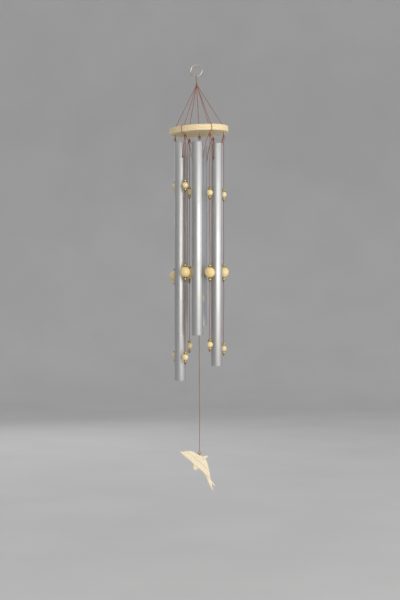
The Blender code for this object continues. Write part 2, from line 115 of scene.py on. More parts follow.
# %% [markdown]
# ## Small helpers
# Colours are easy to pick as sRGB hex values, but shaders work in linear light, so one
# function turns them. Another adds any node with its settings and links in one call. That
# keeps each material and each Geometry Nodes tree short enough to read from top to bottom.
# An input is given as a number or as another node's socket, and the same function sets
# either, so a shader's inputs read as one list.

# %% Helpers for colours and nodes
def linear(hex_colour):
    """An sRGB hex colour as the linear colour that shaders use."""
    digits = hex_colour.lstrip("#")
    channels = [int(digits[start:start + 2], 16) / 255 for start in (0, 2, 4)]
    light = [c / 12.92 if c <= 0.04045 else ((c + 0.055) / 1.055) ** 2.4 for c in channels]
    return (*light, 1.0)


def feed(tree, node, inputs):
    """Sets a node's inputs. Each is a value, or a socket to link from."""
    for name, value in inputs.items():
        if isinstance(value, bpy.types.NodeSocket):
            tree.links.new(value, node.inputs[name])
        else:
            node.inputs[name].default_value = value


def add(tree, kind, inputs=None, stops=(), **settings):
    """Adds a node with its settings, its inputs and the stops of its colour ramp."""
    node = tree.nodes.new(kind)
    for name, value in settings.items():
        setattr(node, name, value)
    feed(tree, node, inputs or {})
    for index, (place, colour) in enumerate(stops):
        ramp = node.color_ramp.elements
        stop = ramp[index] if index < 2 else ramp.new(place)
        stop.position = place
        stop.color = linear(colour)
    return node


def new_material(name):
    """A material with its node tree and its Principled shader."""
    material = bpy.data.materials.new(name)
    material.use_nodes = True
    tree = material.node_tree
    return material, tree, tree.nodes["Principled BSDF"]


# %% Helpers for Geometry Nodes trees
def new_tree(name, **sockets):
    """A Geometry Nodes tree with named inputs, and the sockets that bring them in."""
    tree = bpy.data.node_groups.new(name, "GeometryNodeTree")
    for label, kind in {"Geometry": "Geometry", **sockets}.items():
        socket_type = f"NodeSocket{kind}"
        tree.interface.new_socket(label, in_out="INPUT", socket_type=socket_type)
    tree.interface.new_socket("Geometry", in_out="OUTPUT", socket_type="NodeSocketGeometry")
    return tree, add(tree, "NodeGroupInput").outputs


def end_tree(tree, geometry, material):
    """Makes instances real, gives them the material and sends them out."""
    real = add(tree, "GeometryNodeRealizeInstances", {"Geometry": geometry})
    inputs = {"Geometry": real.outputs[0], "Material": material}
    painted = add(tree, "GeometryNodeSetMaterial", inputs)
    add(tree, "NodeGroupOutput", {"Geometry": painted.outputs[0]})


def mesh_from(work, name, inside_out=False):
    """Ends a bmesh: its faces point outwards, or inwards for a room, and it is smooth."""
    bmesh.ops.recalc_face_normals(work, faces=work.faces)
    if inside_out:
        bmesh.ops.reverse_faces(work, faces=work.faces)
    mesh = bpy.data.meshes.new(name)
    work.to_mesh(mesh)
    work.free()
    mesh.shade_smooth()
    return mesh


def show(name, data):
    """A mesh or a lamp as an object at the origin of the scene."""
    piece = bpy.data.objects.new(name, data)
    bpy.context.scene.collection.objects.link(piece)
    return piece


def plain_mesh(source, name):
    """What an object looks like after its modifiers, as a mesh of its own."""
    graph = bpy.context.evaluated_depsgraph_get()
    evaluated = source.evaluated_get(graph)
    mesh = bpy.data.meshes.new_from_object(
        evaluated, preserve_all_data_layers=True, depsgraph=graph)
    mesh.name = name
    return mesh


def grow(name, tree, start_mesh, **values):
    """Runs a tree on a mesh and keeps the result as a plain mesh piece."""
    source = show(f"{name}_source", start_mesh)
    modifier = source.modifiers.new("grow", "NODES")
    modifier.node_group = tree
    for socket in tree.interface.items_tree:
        if socket.in_out == "INPUT" and socket.name in values:
            modifier[socket.identifier] = values[socket.name]
    mesh = plain_mesh(source, name)
    bpy.data.objects.remove(source)
    return show(name, mesh)


def belongs(piece, body, slot, *nodes):
    """Ties a piece to its body and hides the CAD nodes it stands for. The slot is not used."""
    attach(piece, body)
    if nodes:
        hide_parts(*nodes)
    return piece


# %% [markdown]
# ## The cords' routes
# Everything hangs by one kind of cord, 1.3 mm thick. Each route is a few given points, the
# same as in the engineering model, with a smooth Catmull-Rom curve through them.
# A Bezier curve would need handles for each point. This one goes through the points as
# they are, so a cord can be led through a hole and round the rim without guessing.

# %% Sizes shared with the engineering model
GAP = 0.0003                 # air that keeps two parts of the model apart
LIFT = 1.5 * GAP             # a cord stands off the wood by this much
CORD_D = 0.0013
CORD_R = CORD_D / 2
APEX_DROP = 0.0165
APEX_KNOT_R = 0.0038
DISC_R = 0.0585
DISC_THICK = 0.012
DISC_ABOVE = 0.086
RIM_KNOT_R = 0.0033
RIM_KNOT_DROP = 0.0072
KNOT_CIRCLE_R = 0.0486
CANOPY_TILT = math.radians(3)
HANGER_SPREAD = 0.00095      # half the distance of a wrapped hanger's two strands
KNOT_GRIP = 0.6              # a cord comes out of a knot this far from its middle
HANGER_GRIP = 0.7            # the same for a hanger at its rim knot, both in knot radii
CORD_WAVE = 0.0006
TUBE_HOLE_DROP = 0.030

RING_WIRE_R = (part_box("hang_ring")[1][1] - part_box("hang_ring")[0][1]) / 2
PIVOT_Z = anchors["canopy_sway"].z
LOOP_R = RING_WIRE_R + CORD_R + 2 * GAP
APEX_Z = PIVOT_Z - APEX_DROP
DISC_TOP_Z = APEX_Z - DISC_ABOVE
DISC_Z = DISC_TOP_Z - DISC_THICK

at_pivot = Matrix.Translation((0.0, 0.0, PIVOT_Z))
TILT = at_pivot @ Matrix.Rotation(-CANOPY_TILT, 4, "Y") @ at_pivot.inverted()

TUBE_ANGLES = {
    "front": 0, "front_right": 60, "back_right": 120,
    "back": 180, "back_left": -120, "front_left": -60,
}
STRING_ANGLES = {
    "front_right": 30, "right": 90, "back_right": 150,
    "back_left": -150, "left": -90, "front_left": -30,
}
WRAPPED = ("front_right", "front_left")   # these hangers go round the rim as well
knots = {name: middle(f"knot_{name}") for name in STRING_ANGLES}
centre_knot = middle("centre_knot")
print("disc's underside at", round(DISC_Z, 5), "middle knot at", tuple(centre_knot))


# %% A smooth curve through chosen points
def smooth_route(points, per_span=6):
    """Points along a centripetal Catmull-Rom curve through the given points."""
    padded = [points[0] * 2 - points[1], *points, points[-1] * 2 - points[-2]]
    route = []
    for index in range(1, len(padded) - 2):
        p0, p1, p2, p3 = padded[index - 1:index + 3]
        t1 = (p1 - p0).length ** 0.5
        t2 = t1 + (p2 - p1).length ** 0.5
        t3 = t2 + (p3 - p2).length ** 0.5
        for step in range(per_span):
            t = t1 + (t2 - t1) * step / per_span
            a1 = p0 * ((t1 - t) / t1) + p1 * (t / t1)
            a2 = p1 * ((t2 - t) / (t2 - t1)) + p2 * ((t - t1) / (t2 - t1))
            a3 = p2 * ((t3 - t) / (t3 - t2)) + p3 * ((t - t2) / (t3 - t2))
            b1 = a1 * ((t2 - t) / t2) + a2 * (t / t2)
            b2 = a2 * ((t3 - t) / (t3 - t1)) + a3 * ((t - t1) / (t3 - t1))
            route.append(b1 * ((t2 - t) / (t2 - t1)) + b2 * ((t - t1) / (t2 - t1)))
    route.append(points[-1].copy())
    return route


def polar(angle, tangent, radius, z):
    """A place from its angle, its tangential and radial distances and its height."""
    across = Vector((math.cos(angle), math.sin(angle), 0.0))
    outward = Vector((math.sin(angle), -math.cos(angle), 0.0))
    return across * tangent + outward * radius + Vector((0.0, 0.0, z))


def below(place, z):
    """The point straight below a place at a given height."""
    return Vector((place.x, place.y, z))


def length_of(route):
    """How long a route is."""
    return sum((b - a).length for a, b in zip(route, route[1:]))


# %% Above the disc: the loop and the hangers
def loop_route():
    """Up from the gathering knot, over the ring's wire and down again."""
    over = []
    for degrees in range(0, 181, 20):
        turn = math.radians(degrees)
        height = PIVOT_Z + LOOP_R * math.sin(turn)
        over.append(Vector((0.0, LOOP_R * math.cos(turn), height)))
    leg = [Vector((0.0, 0.0011, APEX_Z + 0.0015)), Vector((0.0, 0.0015, APEX_Z + 0.0075))]
    mirrored = [Vector((0.0, -place.y, place.z)) for place in reversed(leg)]
    return smooth_route([TILT @ place for place in leg + over + mirrored])


def hanger_route(angle, wrapped):
    """From the gathering knot through the rim hole. A wrapped one goes round the rim too."""
    side = HANGER_SPREAD if wrapped else 0.0
    reach = KNOT_CIRCLE_R
    rim = DISC_R + CORD_R + LIFT
    over = DISC_TOP_Z + CORD_R + LIFT
    under = DISC_Z - CORD_R - LIFT
    fall = Vector((reach, 0.0, DISC_TOP_Z - APEX_Z)).normalized()
    start = APEX_KNOT_R * KNOT_GRIP * fall
    through = [
        (0.0, start.x, APEX_Z + start.z),
        (-side / 2, reach / 2, (APEX_Z + DISC_TOP_Z) / 2),
        (-side, reach - 0.0014, DISC_TOP_Z + 0.0026),
        (-side, reach, DISC_TOP_Z - 0.0010),
        (-side, reach, DISC_Z + 0.0010),
    ]
    around = [
        (-side, reach + 0.0010, under - 0.0003),
        (-side / 2, reach + 0.0045, under),
        (0.0, DISC_R - 0.0015, under),
        (0.0, rim, DISC_Z + 0.0012),
        (0.0, rim, DISC_TOP_Z - 0.0012),
        (0.0, DISC_R - 0.0015, over),
        (side / 2, reach + 0.0045, over),
        (side, reach + 0.0008, over - 0.0002),
        (side, reach, DISC_TOP_Z - 0.0016),
        (side, reach, DISC_Z - 0.0004),
    ]
    end = [(0.3 * side, reach, DISC_Z - RIM_KNOT_DROP + RIM_KNOT_R * HANGER_GRIP)]
    places = through + (around if wrapped else []) + end
    return smooth_route([TILT @ polar(angle, *place) for place in places])


def centre_hanger_route():
    """Straight from the gathering knot through the middle of the disc."""
    top = APEX_Z - APEX_KNOT_R * KNOT_GRIP
    bottom = DISC_Z - RIM_KNOT_DROP + RIM_KNOT_R * HANGER_GRIP
    steps = 8
    heights = [top + (bottom - top) * step / steps for step in range(steps + 1)]
    return [TILT @ Vector((0.0, 0.0, height)) for height in heights]


# %% [markdown]
# ## Slings, bead strings and the middle cord
# A tube hangs in a sling: a cord from one rim knot, down through two drilled holes and up
# to the next knot. The string of beads hangs straight from its knot. Even a taut string
# strays a little between two beads, so a sine of 0.6 mm is added there. Straight lines
# would look like wire.

# %% Below the disc: slings and strings
SLING_LEAN = math.radians(40)    # from upright, where a sling leaves its knot
WAVE_TURN = 1.3              # radians the wave turns at each stretch or bead group


def sling_half(knot_place, hole, outward, tube_r):
    """From a rim knot to the middle of the tube. outward points to that knot."""
    leave = RIM_KNOT_R * KNOT_GRIP
    from_knot = ((leave * math.sin(SLING_LEAN), leave * math.cos(SLING_LEAN)),
                 (0.0050, 0.0080), (0.0085, 0.0190))
    from_hole = ((tube_r + 0.0022, 0.0120), (tube_r + 0.0014, 0.0030),
                 (tube_r + 0.0003, 0.0003), (tube_r - 0.0030, 0.0))
    up = Vector((0.0, 0.0, 1.0))
    high = [knot_place - outward * across - up * fall for across, fall in from_knot]
    low = [hole + outward * across + up * rise for across, rise in from_hole]
    return high + low


def sling_route(left, right, hole, angle, tube_r):
    """From one rim knot down through the tube and up to the next knot."""
    across = polar(angle, 1.0, 0.0, 0.0)
    half = sling_half(left, hole, -across, tube_r)
    other = sling_half(right, hole, across, tube_r)
    return smooth_route(half + other[::-1])


def wavy(top, high, low, turn, steps=24):
    """A hanging stretch below a place, with a slight wave that starts and ends on it."""
    route = []
    for step in range(steps):
        part = step / steps
        stray = CORD_WAVE * math.sin(2 * math.pi * part)
        aside = Vector((stray * math.cos(turn), stray * math.sin(turn), 0.0))
        route.append(below(top, high + (low - high) * part) + aside)
    return route


def string_route(knot_place, angle, groups):
    """From the rim knot down through the bead groups. A group is (top, bottom)."""
    stops = [knot_place.z - RIM_KNOT_R * KNOT_GRIP, *[z for group in groups for z in group]]
    route = []
    for index, (high, low) in enumerate(zip(stops, stops[1:])):
        if index % 2:
            route.append(below(knot_place, high))
        else:
            route += wavy(knot_place, high, low, angle + WAVE_TURN * index)
    route.append(below(knot_place, stops[-1]))
    return route


def drop_route(high, low, end, turn, steps=24):
    """A stretch of the middle cord: a slight wave, then straight through its beads."""
    return wavy(centre_knot, high, low, turn, steps) + [
        below(centre_knot, low), below(centre_knot, end)]


# %% [markdown]
# ## The cord as a Geometry Nodes tree
# The real cord is three nylon strands laid round each other. The tree takes a line of
# points, spaces them evenly, tilts the line a full turn every 4 mm, and sweeps a profile
# with three lobes along it. The tilt turns the lobes into strands. It also stores where
# each point is round the cord and along it, which the material needs for the fibres. A
# round bevel with a twist pattern in the bump would be lighter, but its outline is smooth.

# %% The three-strand cord tree
STRANDS = 3
PROFILE_POINTS = 15
LOBE_DEPTH = 0.26


def cord_tree():
    tree, given = new_tree("three_strand_cord", Radius="Float", Pitch="Float", Step="Float",
                           Material="Material")
    line = add(tree, "GeometryNodeMeshToCurve", {"Mesh": given["Geometry"]})
    even = add(tree, "GeometryNodeResampleCurve",
               {"Curve": line.outputs[0], "Length": given["Step"]}, mode="LENGTH")
    along = add(tree, "GeometryNodeSplineParameter").outputs["Length"]
    turns = add(tree, "ShaderNodeMath", {0: along, 1: given["Pitch"]}, operation="DIVIDE")
    tilt = add(tree, "ShaderNodeMath", {0: turns.outputs[0], 1: math.tau},
               operation="MULTIPLY")
    tilted = add(tree, "GeometryNodeSetCurveTilt",
                 {"Curve": even.outputs[0], "Tilt": tilt.outputs[0]})
    marked = add(tree, "GeometryNodeStoreNamedAttribute",
                 {"Geometry": tilted.outputs[0], "Name": "along", "Value": along})

    circle = add(tree, "GeometryNodeCurvePrimitiveCircle",
                 {"Resolution": PROFILE_POINTS, "Radius": 1.0})
    part = add(tree, "GeometryNodeSplineParameter").outputs["Factor"]
    lobe_turn = add(tree, "ShaderNodeMath", {0: part, 1: math.tau * STRANDS},
                    operation="MULTIPLY")
    wave = add(tree, "ShaderNodeMath", {0: lobe_turn.outputs[0]}, operation="COSINE")
    groove = add(tree, "ShaderNodeMath", {0: wave.outputs[0], 1: -0.5, 2: 0.5},
                 operation="MULTIPLY_ADD")
    reach = add(tree, "ShaderNodeMath", {0: groove.outputs[0], 1: -LOBE_DEPTH, 2: 1.0},
                operation="MULTIPLY_ADD")
    place = add(tree, "GeometryNodeInputPosition").outputs[0]
    sized = add(tree, "ShaderNodeMath", {0: reach.outputs[0], 1: given["Radius"]},
                operation="MULTIPLY")
    lobed = add(tree, "ShaderNodeVectorMath", {0: place, "Scale": sized.outputs[0]},
                operation="SCALE")
    round_it = add(tree, "GeometryNodeStoreNamedAttribute",
                   {"Geometry": circle.outputs[0], "Name": "around", "Value": place},
                   data_type="FLOAT_VECTOR")
    # groove is 1 between the strands; the twine's material paints shade there
    grooved = add(tree, "GeometryNodeStoreNamedAttribute",
                  {"Geometry": round_it.outputs[0], "Name": "groove",
                   "Value": groove.outputs[0]})
    profile = add(tree, "GeometryNodeSetPosition",
                  {"Geometry": grooved.outputs[0], "Position": lobed.outputs[0]})

    thickness = add(tree, "GeometryNodeInputNamedAttribute", {"Name": "thickness"})
    swept = add(tree, "GeometryNodeCurveToMesh",
                {"Curve": marked.outputs[0], "Profile Curve": profile.outputs[0],
                 "Scale": thickness.outputs[0], "Fill Caps": True})
    smooth = add(tree, "GeometryNodeSetShadeSmooth", {"Geometry": swept.outputs[0]})
    end_tree(tree, smooth.outputs[0], given["Material"])
    return tree


three_strand_cord = cord_tree()
print("cord tree:", len(three_strand_cord.nodes), "nodes")


# %% Lines of points for the tree
def line_mesh(name, *lines):
    """A mesh of open lines. Each is (points, thickness at its start and at its end)."""
    places, edges, thickness = [], [], []
    for points, start, end in lines:
        first = len(places)
        places += points
        edges += [(first + step, first + step + 1) for step in range(len(points) - 1)]
        thickness += [start + (end - start) * step / (len(points) - 1)
                      for step in range(len(points))]
    mesh = bpy.data.meshes.new(name)
    mesh.from_pydata(places, edges, [])
    layer = mesh.attributes.new("thickness", "FLOAT", "POINT")
    layer.data.foreach_set("value", thickness)
    return mesh


# %% [markdown]
# ## Nylon twine
# The cord is spun nylon, dyed rust red and a little faded by the sun. Spun fibre scatters
# light, so it is rough, with a weak sheen at grazing angles. Shade is painted into the
# colour between the strands, so the strands' tops look paler.

# %% The twine's material
FIBRES_ROUND = 7.0           # noise cells over the cord's half width, about 0.1 mm each
FIBRES_ALONG = 260.0         # per metre: a fibre shows for about 4 mm
FADES_PER_METRE = 34.0       # the dye has faded in stretches of about 30 mm
PAINTED_GROOVE_SHADE = 0.55          # how far painted shade darkens the colour between strands


def nylon_twine():
    material, tree, shader = new_material("rust_nylon_twine")
    around = add(tree, "ShaderNodeAttribute", attribute_name="around").outputs["Vector"]
    along = add(tree, "ShaderNodeAttribute", attribute_name="along").outputs["Fac"]
    groove = add(tree, "ShaderNodeAttribute", attribute_name="groove").outputs["Fac"]
    far = add(tree, "ShaderNodeCombineXYZ", {"Z": along})
    place = add(tree, "ShaderNodeVectorMath", {0: around, 1: far.outputs[0]}, operation="ADD")
    stretch = add(tree, "ShaderNodeMapping",
                  {"Vector": place.outputs[0],
                   "Scale": (FIBRES_ROUND, FIBRES_ROUND, FIBRES_ALONG)})
    fibres = add(tree, "ShaderNodeTexNoise",
                 {"Vector": stretch.outputs[0], "Scale": 1.0, "Detail": 3.0})
    dye = add(tree, "ShaderNodeValToRGB", {"Fac": fibres.outputs["Fac"]},
              stops=((0.32, "#8a3a24"), (0.72, "#c4663c")))
    faded_where = add(tree, "ShaderNodeTexNoise",
                      {"Vector": far.outputs[0], "Scale": FADES_PER_METRE, "Detail": 1.0})
    faded = add(tree, "ShaderNodeMix",
                {0: faded_where.outputs["Fac"], 6: dye.outputs[0], 7: linear("#b0705a")},
                data_type="RGBA")
    # painted shade: towards the grooves between strands the colour goes dark
    depth = add(tree, "ShaderNodeMath", {0: groove, 1: PAINTED_GROOVE_SHADE}, operation="MULTIPLY")
    shaded = add(tree, "ShaderNodeMix",
                 {0: depth.outputs[0], 6: faded.outputs[2], 7: linear("#3b1710")},
                 data_type="RGBA")
    relief = add(tree, "ShaderNodeBump",
                 {"Height": fibres.outputs["Fac"], "Strength": 0.5, "Distance": 0.00008})
    feed(tree, shader, {"Base Color": shaded.outputs[2], "Normal": relief.outputs[0],
                        "Roughness": 0.72, "Sheen Weight": 0.25, "Sheen Roughness": 0.5})
    return material


twine = nylon_twine()
CORD_PITCH = 0.0040          # the strands go once round in this length
CORD_STEP = 0.00034
KNOT_STEP = 0.00024          # finer, because a knot bends tightly


def spin_cord(name, lines, step):
    """Lines of points as one piece of twine."""
    return grow(name, three_strand_cord, line_mesh(name, *lines), Radius=CORD_R,
                Pitch=CORD_PITCH, Step=step, Material=twine)


def hang_cord(name, body, node, route):
    """A cord along a route, tied to its body and its CAD node."""
    cord = belongs(spin_cord(name, [(route, 1.0, 1.0)], CORD_STEP), body, "cord", node)
    print(name, "length", round(length_of(route), 3), "m")


# %% [markdown]
# ## Knots
# All the cords meet in tight overhand knots. An overhand knot closed into a ring is a
# trefoil: a line that goes twice round a ring and three times through it. That formula
# gives a knot whose cord passes over and under itself without cutting through. The cut
# ends are left as they are on the real thing: three strands, coming apart.

# %% Knot shapes
FRAY_SPREAD = 0.22           # the tips part by up to this much of the knot's radius
FRAY_THICKNESS = (0.45, 0.25)   # a strand's thickness at the knot and at its tip


def trefoil(centre, angle, ring_r, through_r, phase=0.0, steps=120):
    """A tight overhand knot, standing in the vertical plane across the angle."""
    route = []
    for step in range(steps + 1):
        part = math.tau * step / steps
        reach = ring_r + through_r * math.cos(3 * part + phase)
        depth = through_r * math.sin(3 * part + phase)
        turned = polar(angle, reach * math.cos(2 * part), depth, reach * math.sin(2 * part))
        route.append(centre + turned)
    return route


def frayed_end(rng, centre, angle, reach, drop):
    """The three strands of a cut cord end, hanging out of a knot and coming apart."""
    strands = []
    for _ in range(STRANDS):
        spread = Vector([rng.uniform(-1, 1) for _ in range(3)]) * reach * FRAY_SPREAD
        out = polar(angle, reach * 0.35, reach * 0.55, 0.0)
        places = [centre, centre + out, centre + out * 1.5 + spread * 0.5,
                  centre + out * 1.7 + spread]
        places[2].z -= drop * 0.4
        places[3].z -= drop * rng.uniform(0.8, 1.1)
        strands.append((smooth_route(places), *FRAY_THICKNESS))
    return strands


# %% The rim knots, the middle knot and the gathering knot
KNOT_RING_R = 0.00172
KNOT_THROUGH_R = 0.00088
GATHERED_RING_R = 0.0022
GATHERED_THROUGH_R = 0.00095
SHORT_TAIL = (0.006, 0.010)
LONG_TAIL = (0.012, 0.016)   # a wrapped hanger's end is left longer
MIDDLE_TAIL = 0.006
rng = random.Random(7)


def make_knot(name, centre, angle, tail_drop):
    """A rim knot with its frayed end."""
    lines = [(trefoil(centre, angle, KNOT_RING_R, KNOT_THROUGH_R), 1.0, 1.0)]
    lines += frayed_end(rng, centre, angle, RIM_KNOT_R, tail_drop)
    return spin_cord(name, lines, KNOT_STEP)


for name, degrees in STRING_ANGLES.items():
    angle = math.radians(degrees)
    tail = rng.uniform(*(LONG_TAIL if name in WRAPPED else SHORT_TAIL))
    piece = make_knot(f"rim_knot_{name}", knots[name], angle, tail)
    belongs(piece, "canopy", "cord", f"knot_{name}")

middle_knot = make_knot("middle_knot", centre_knot, math.radians(20), MIDDLE_TAIL)
belongs(middle_knot, "canopy", "cord", "centre_knot")

at_apex = TILT @ Vector((0.0, 0.0, APEX_Z))
apex_lines = [(trefoil(at_apex, math.pi / 2, GATHERED_RING_R, GATHERED_THROUGH_R, phase),
               1.0, 1.0) for phase in (0.0, math.pi / 2)]
gathering_knot = spin_cord("gathering_knot", apex_lines, KNOT_STEP)
belongs(gathering_knot, "canopy", "cord", "hanging_loop")


# %% [markdown]
# ## Beads
# A string carries three groups: a turned wood bead between two brass ones. One bead of
# each kind is modelled with a radius of one and then placed by a tree on a point for each
# bead. The tree keeps a bead's own coordinates as an attribute, in real metres, and gives
# each bead a shift of its own, so that no two beads show the same grain. Copying objects
# would work as well, but then each copy would need its own material to look different.

# %% Turned profiles
def turned(name, profile, sides):
    """Turns a closed profile of (radius, height) about the vertical axis."""
    work = bmesh.new()
    rings = []
    for radius, height in profile:
        count = sides if radius > 0.0 else 1
        turns = [math.tau * side / count for side in range(count)]
        rings.append([work.verts.new((radius * math.cos(t), radius * math.sin(t), height))
                      for t in turns])
    pairs = list(zip(rings, rings[1:]))
    if len(rings[0]) > 1:
        pairs.append((rings[-1], rings[0]))
    for low, high in pairs:
        for side in range(sides):
            after = (side + 1) % sides
            corners = [low[side % len(low)], low[after % len(low)],
                       high[after % len(high)], high[side % len(high)]]
            work.faces.new(list(dict.fromkeys(corners)))
    return mesh_from(work, name)


def arc(radius, centre, start, end, steps):
    """Points (radius, height) on a circle round a centre, from one angle to another."""
    angles = [math.radians(start + (end - start) * step / steps) for step in range(steps + 1)]
    return [(centre[0] + radius * math.cos(a), centre[1] + radius * math.sin(a))
            for a in angles]


def bead_profile(bore, lip, steps):
    """Half of a ball of radius one with a bore whose edges are eased by a lip."""
    mouth = math.degrees(math.acos(bore + lip))
    outside = arc(1.0, (0.0, 0.0), -mouth, mouth, steps)
    inside = outside[-1][1] - lip
    return [(bore, -inside), *outside, (bore, inside)]


# %% One bead of each kind
BRASS_WIDTH = 1.12           # the brass beads are wider than they are tall


def unit_bead(name, bore, lip, steps, sides, width=1.0):
    """A bead of radius one that keeps each point's own place as an attribute."""
    profile = [(radius * width, height) for radius, height in bead_profile(bore, lip, steps)]
    mesh = turned(name, profile, sides)
    layer = mesh.attributes.new("bead", "FLOAT_VECTOR", "POINT")
    layer.data.foreach_set("vector", [value for vertex in mesh.vertices for value in vertex.co])
    return show(name, mesh)


unit_wood_bead = unit_bead("unit_wood_bead", bore=0.17, lip=0.05, steps=20, sides=40)
unit_brass_bead = unit_bead("unit_brass_bead", bore=0.28, lip=0.06, steps=14, sides=32,
                            width=BRASS_WIDTH)
unit_trefoil = trefoil(Vector(), 0.0, ring_r=0.55, through_r=0.30)
unit_knot_line = line_mesh("unit_knot", (unit_trefoil, 1.0, 1.0))
unit_knot = grow("unit_knot", three_strand_cord, unit_knot_line, Radius=0.27, Pitch=1.6,
                 Step=0.14, Material=twine)
print("faces in a wood bead:", len(unit_wood_bead.data.polygons))


# %% The tree that places beads
GRAIN_SHIFT = (0.11, 0.013, 0.021)   # metres from a bead of tone 0 to one of tone 1


def bead_tree():
    tree, given = new_tree("beads_on_points", Bead="Object", Seed="Int", Lean="Float",
                           Material="Material")
    bead = add(tree, "GeometryNodeObjectInfo", {"Object": given["Bead"]})
    turn = add(tree, "FunctionNodeRandomValue", {3: math.tau, "Seed": given["Seed"]},
               data_type="FLOAT")
    lean = add(tree, "FunctionNodeRandomValue", {3: given["Lean"], "Seed": given["Seed"]},
               data_type="FLOAT")
    rotation = add(tree, "ShaderNodeCombineXYZ",
                   {"X": lean.outputs[1], "Z": turn.outputs[1]})
    size = add(tree, "GeometryNodeInputNamedAttribute", {"Name": "size"}).outputs[0]
    placed = add(tree, "GeometryNodeInstanceOnPoints",
                 {"Points": given["Geometry"], "Instance": bead.outputs["Geometry"],
                  "Rotation": rotation.outputs[0], "Scale": size})
    real = add(tree, "GeometryNodeRealizeInstances", {"Geometry": placed.outputs[0]})
    own = add(tree, "GeometryNodeInputNamedAttribute", {"Name": "bead"},
              data_type="FLOAT_VECTOR")
    metres = add(tree, "ShaderNodeVectorMath", {0: own.outputs[0], "Scale": size},
                 operation="SCALE")
    tone = add(tree, "GeometryNodeInputNamedAttribute", {"Name": "tone"}).outputs[0]
    shift = add(tree, "ShaderNodeVectorMath", {0: GRAIN_SHIFT, "Scale": tone},
                operation="SCALE")
    moved = add(tree, "ShaderNodeVectorMath", {0: metres.outputs[0], 1: shift.outputs[0]},
                operation="ADD")
    kept = add(tree, "GeometryNodeStoreNamedAttribute",
               {"Geometry": real.outputs[0], "Name": "bead", "Value": moved.outputs[0]},
               data_type="FLOAT_VECTOR")
    end_tree(tree, kept.outputs[0], given["Material"])
    return tree


beads_on_points = bead_tree()


def bead_points(name, beads):
    """A mesh of single points, one for each bead: (place, radius, tone from 0 to 1)."""
    mesh = bpy.data.meshes.new(name)
    mesh.from_pydata([place for place, _, _ in beads], [], [])
    for label, index in (("size", 1), ("tone", 2)):
        layer = mesh.attributes.new(label, "FLOAT", "POINT")
        layer.data.foreach_set("value", [bead[index] for bead in beads])
    return mesh


# %% [markdown]
# ## Wood
# A tree grows a ring a year, so solid wood is a stack of cones round the pith. The
# material does the same: the distance from a pith line, divided by the ring spacing, is
# how many years old that point is. The part after the decimal point is the season. Spring
# wood is pale and wide, and the thin summer line is dark. Every cut through such a solid
# shows the right figure by itself, such as lines along a board and arcs on its end.

# %% Grain for the disc, the dolphin and the beads
DRIFTS = (9.0, 38.0, 38.0)   # a metre: rings wander over 110 mm along, 26 mm across
FIBRES = (130.0, 1700.0, 1700.0)    # a metre: a fibre shows 8 mm long, 0.6 mm wide
FIBRE_SHADE = 0.65


def grain(tree, place, spacing, pith, stops, wander):
    """Growth rings round a pith along X, below the piece. Gives colour and relief."""
    slow = add(tree, "ShaderNodeMapping", {"Vector": place, "Scale": DRIFTS})
    drift = add(tree, "ShaderNodeTexNoise",
                {"Vector": slow.outputs[0], "Scale": 1.0, "Detail": 2.0})
    flat = add(tree, "ShaderNodeMapping",
               {"Vector": place, "Location": (0.0, 0.0, pith), "Scale": (0.0, 1.0, 1.0)})
    radius = add(tree, "ShaderNodeVectorMath", {0: flat.outputs[0]}, operation="LENGTH")
    uneven = add(tree, "ShaderNodeMath",
                 {0: drift.outputs["Fac"], 1: wander, 2: radius.outputs["Value"]},
                 operation="MULTIPLY_ADD")
    years = add(tree, "ShaderNodeMath", {0: uneven.outputs[0], 1: spacing},
                operation="DIVIDE")
    season = add(tree, "ShaderNodeMath", {0: years.outputs[0]}, operation="FRACT")
    colour = add(tree, "ShaderNodeValToRGB", {"Fac": season.outputs[0]}, stops=stops)
    fine = add(tree, "ShaderNodeMapping", {"Vector": place, "Scale": FIBRES})
    fibre = add(tree, "ShaderNodeTexNoise",
                {"Vector": fine.outputs[0], "Scale": 1.0, "Detail": 2.0})
    streak = add(tree, "ShaderNodeValToRGB", {"Fac": fibre.outputs["Fac"]},
                 stops=((0.30, "#d9d0bd"), (0.62, "#ffffff")))
    both = add(tree, "ShaderNodeMix",
               {0: FIBRE_SHADE, 6: colour.outputs[0], 7: streak.outputs[0]},
               data_type="RGBA", blend_type="MULTIPLY")
    return both.outputs[2], fibre.outputs["Fac"]


def wood(name, stops, spacing, pith, wander, roughness, turn, at):
    """Solid pine whose grain runs along the turned X axis, on Object coordinates."""
    material, tree, shader = new_material(name)
    place = add(tree, "ShaderNodeTexCoord").outputs["Object"]
    centred = add(tree, "ShaderNodeVectorMath", {0: place, 1: at}, operation="SUBTRACT")
    mapped = add(tree, "ShaderNodeMapping",
                 {"Vector": centred.outputs[0], "Rotation": turn})
    colour, fibre = grain(tree, mapped.outputs[0], spacing, pith, stops, wander)
    relief = add(tree, "ShaderNodeBump",
                 {"Height": fibre, "Strength": 0.35, "Distance": 0.00012})
    feed(tree, shader, {"Base Color": colour, "Normal": relief.outputs[0],
                        "Roughness": roughness})
    return material


# %% [markdown]
# ## Bead wood and brass
# The beads are a fine hardwood, turned from a dowel, so the grain runs along the bore.
# They are waxed to a soft gloss, and their rings of 1.4 mm have little contrast. The small
# ones are nearly cream and the large ones a light gold. The brass beads are turned and
# polished, and a little wider than they are tall. A polished metal shows what is around
# it, so a faint tarnish in blotches of about 2.4 mm is all the pattern it needs.

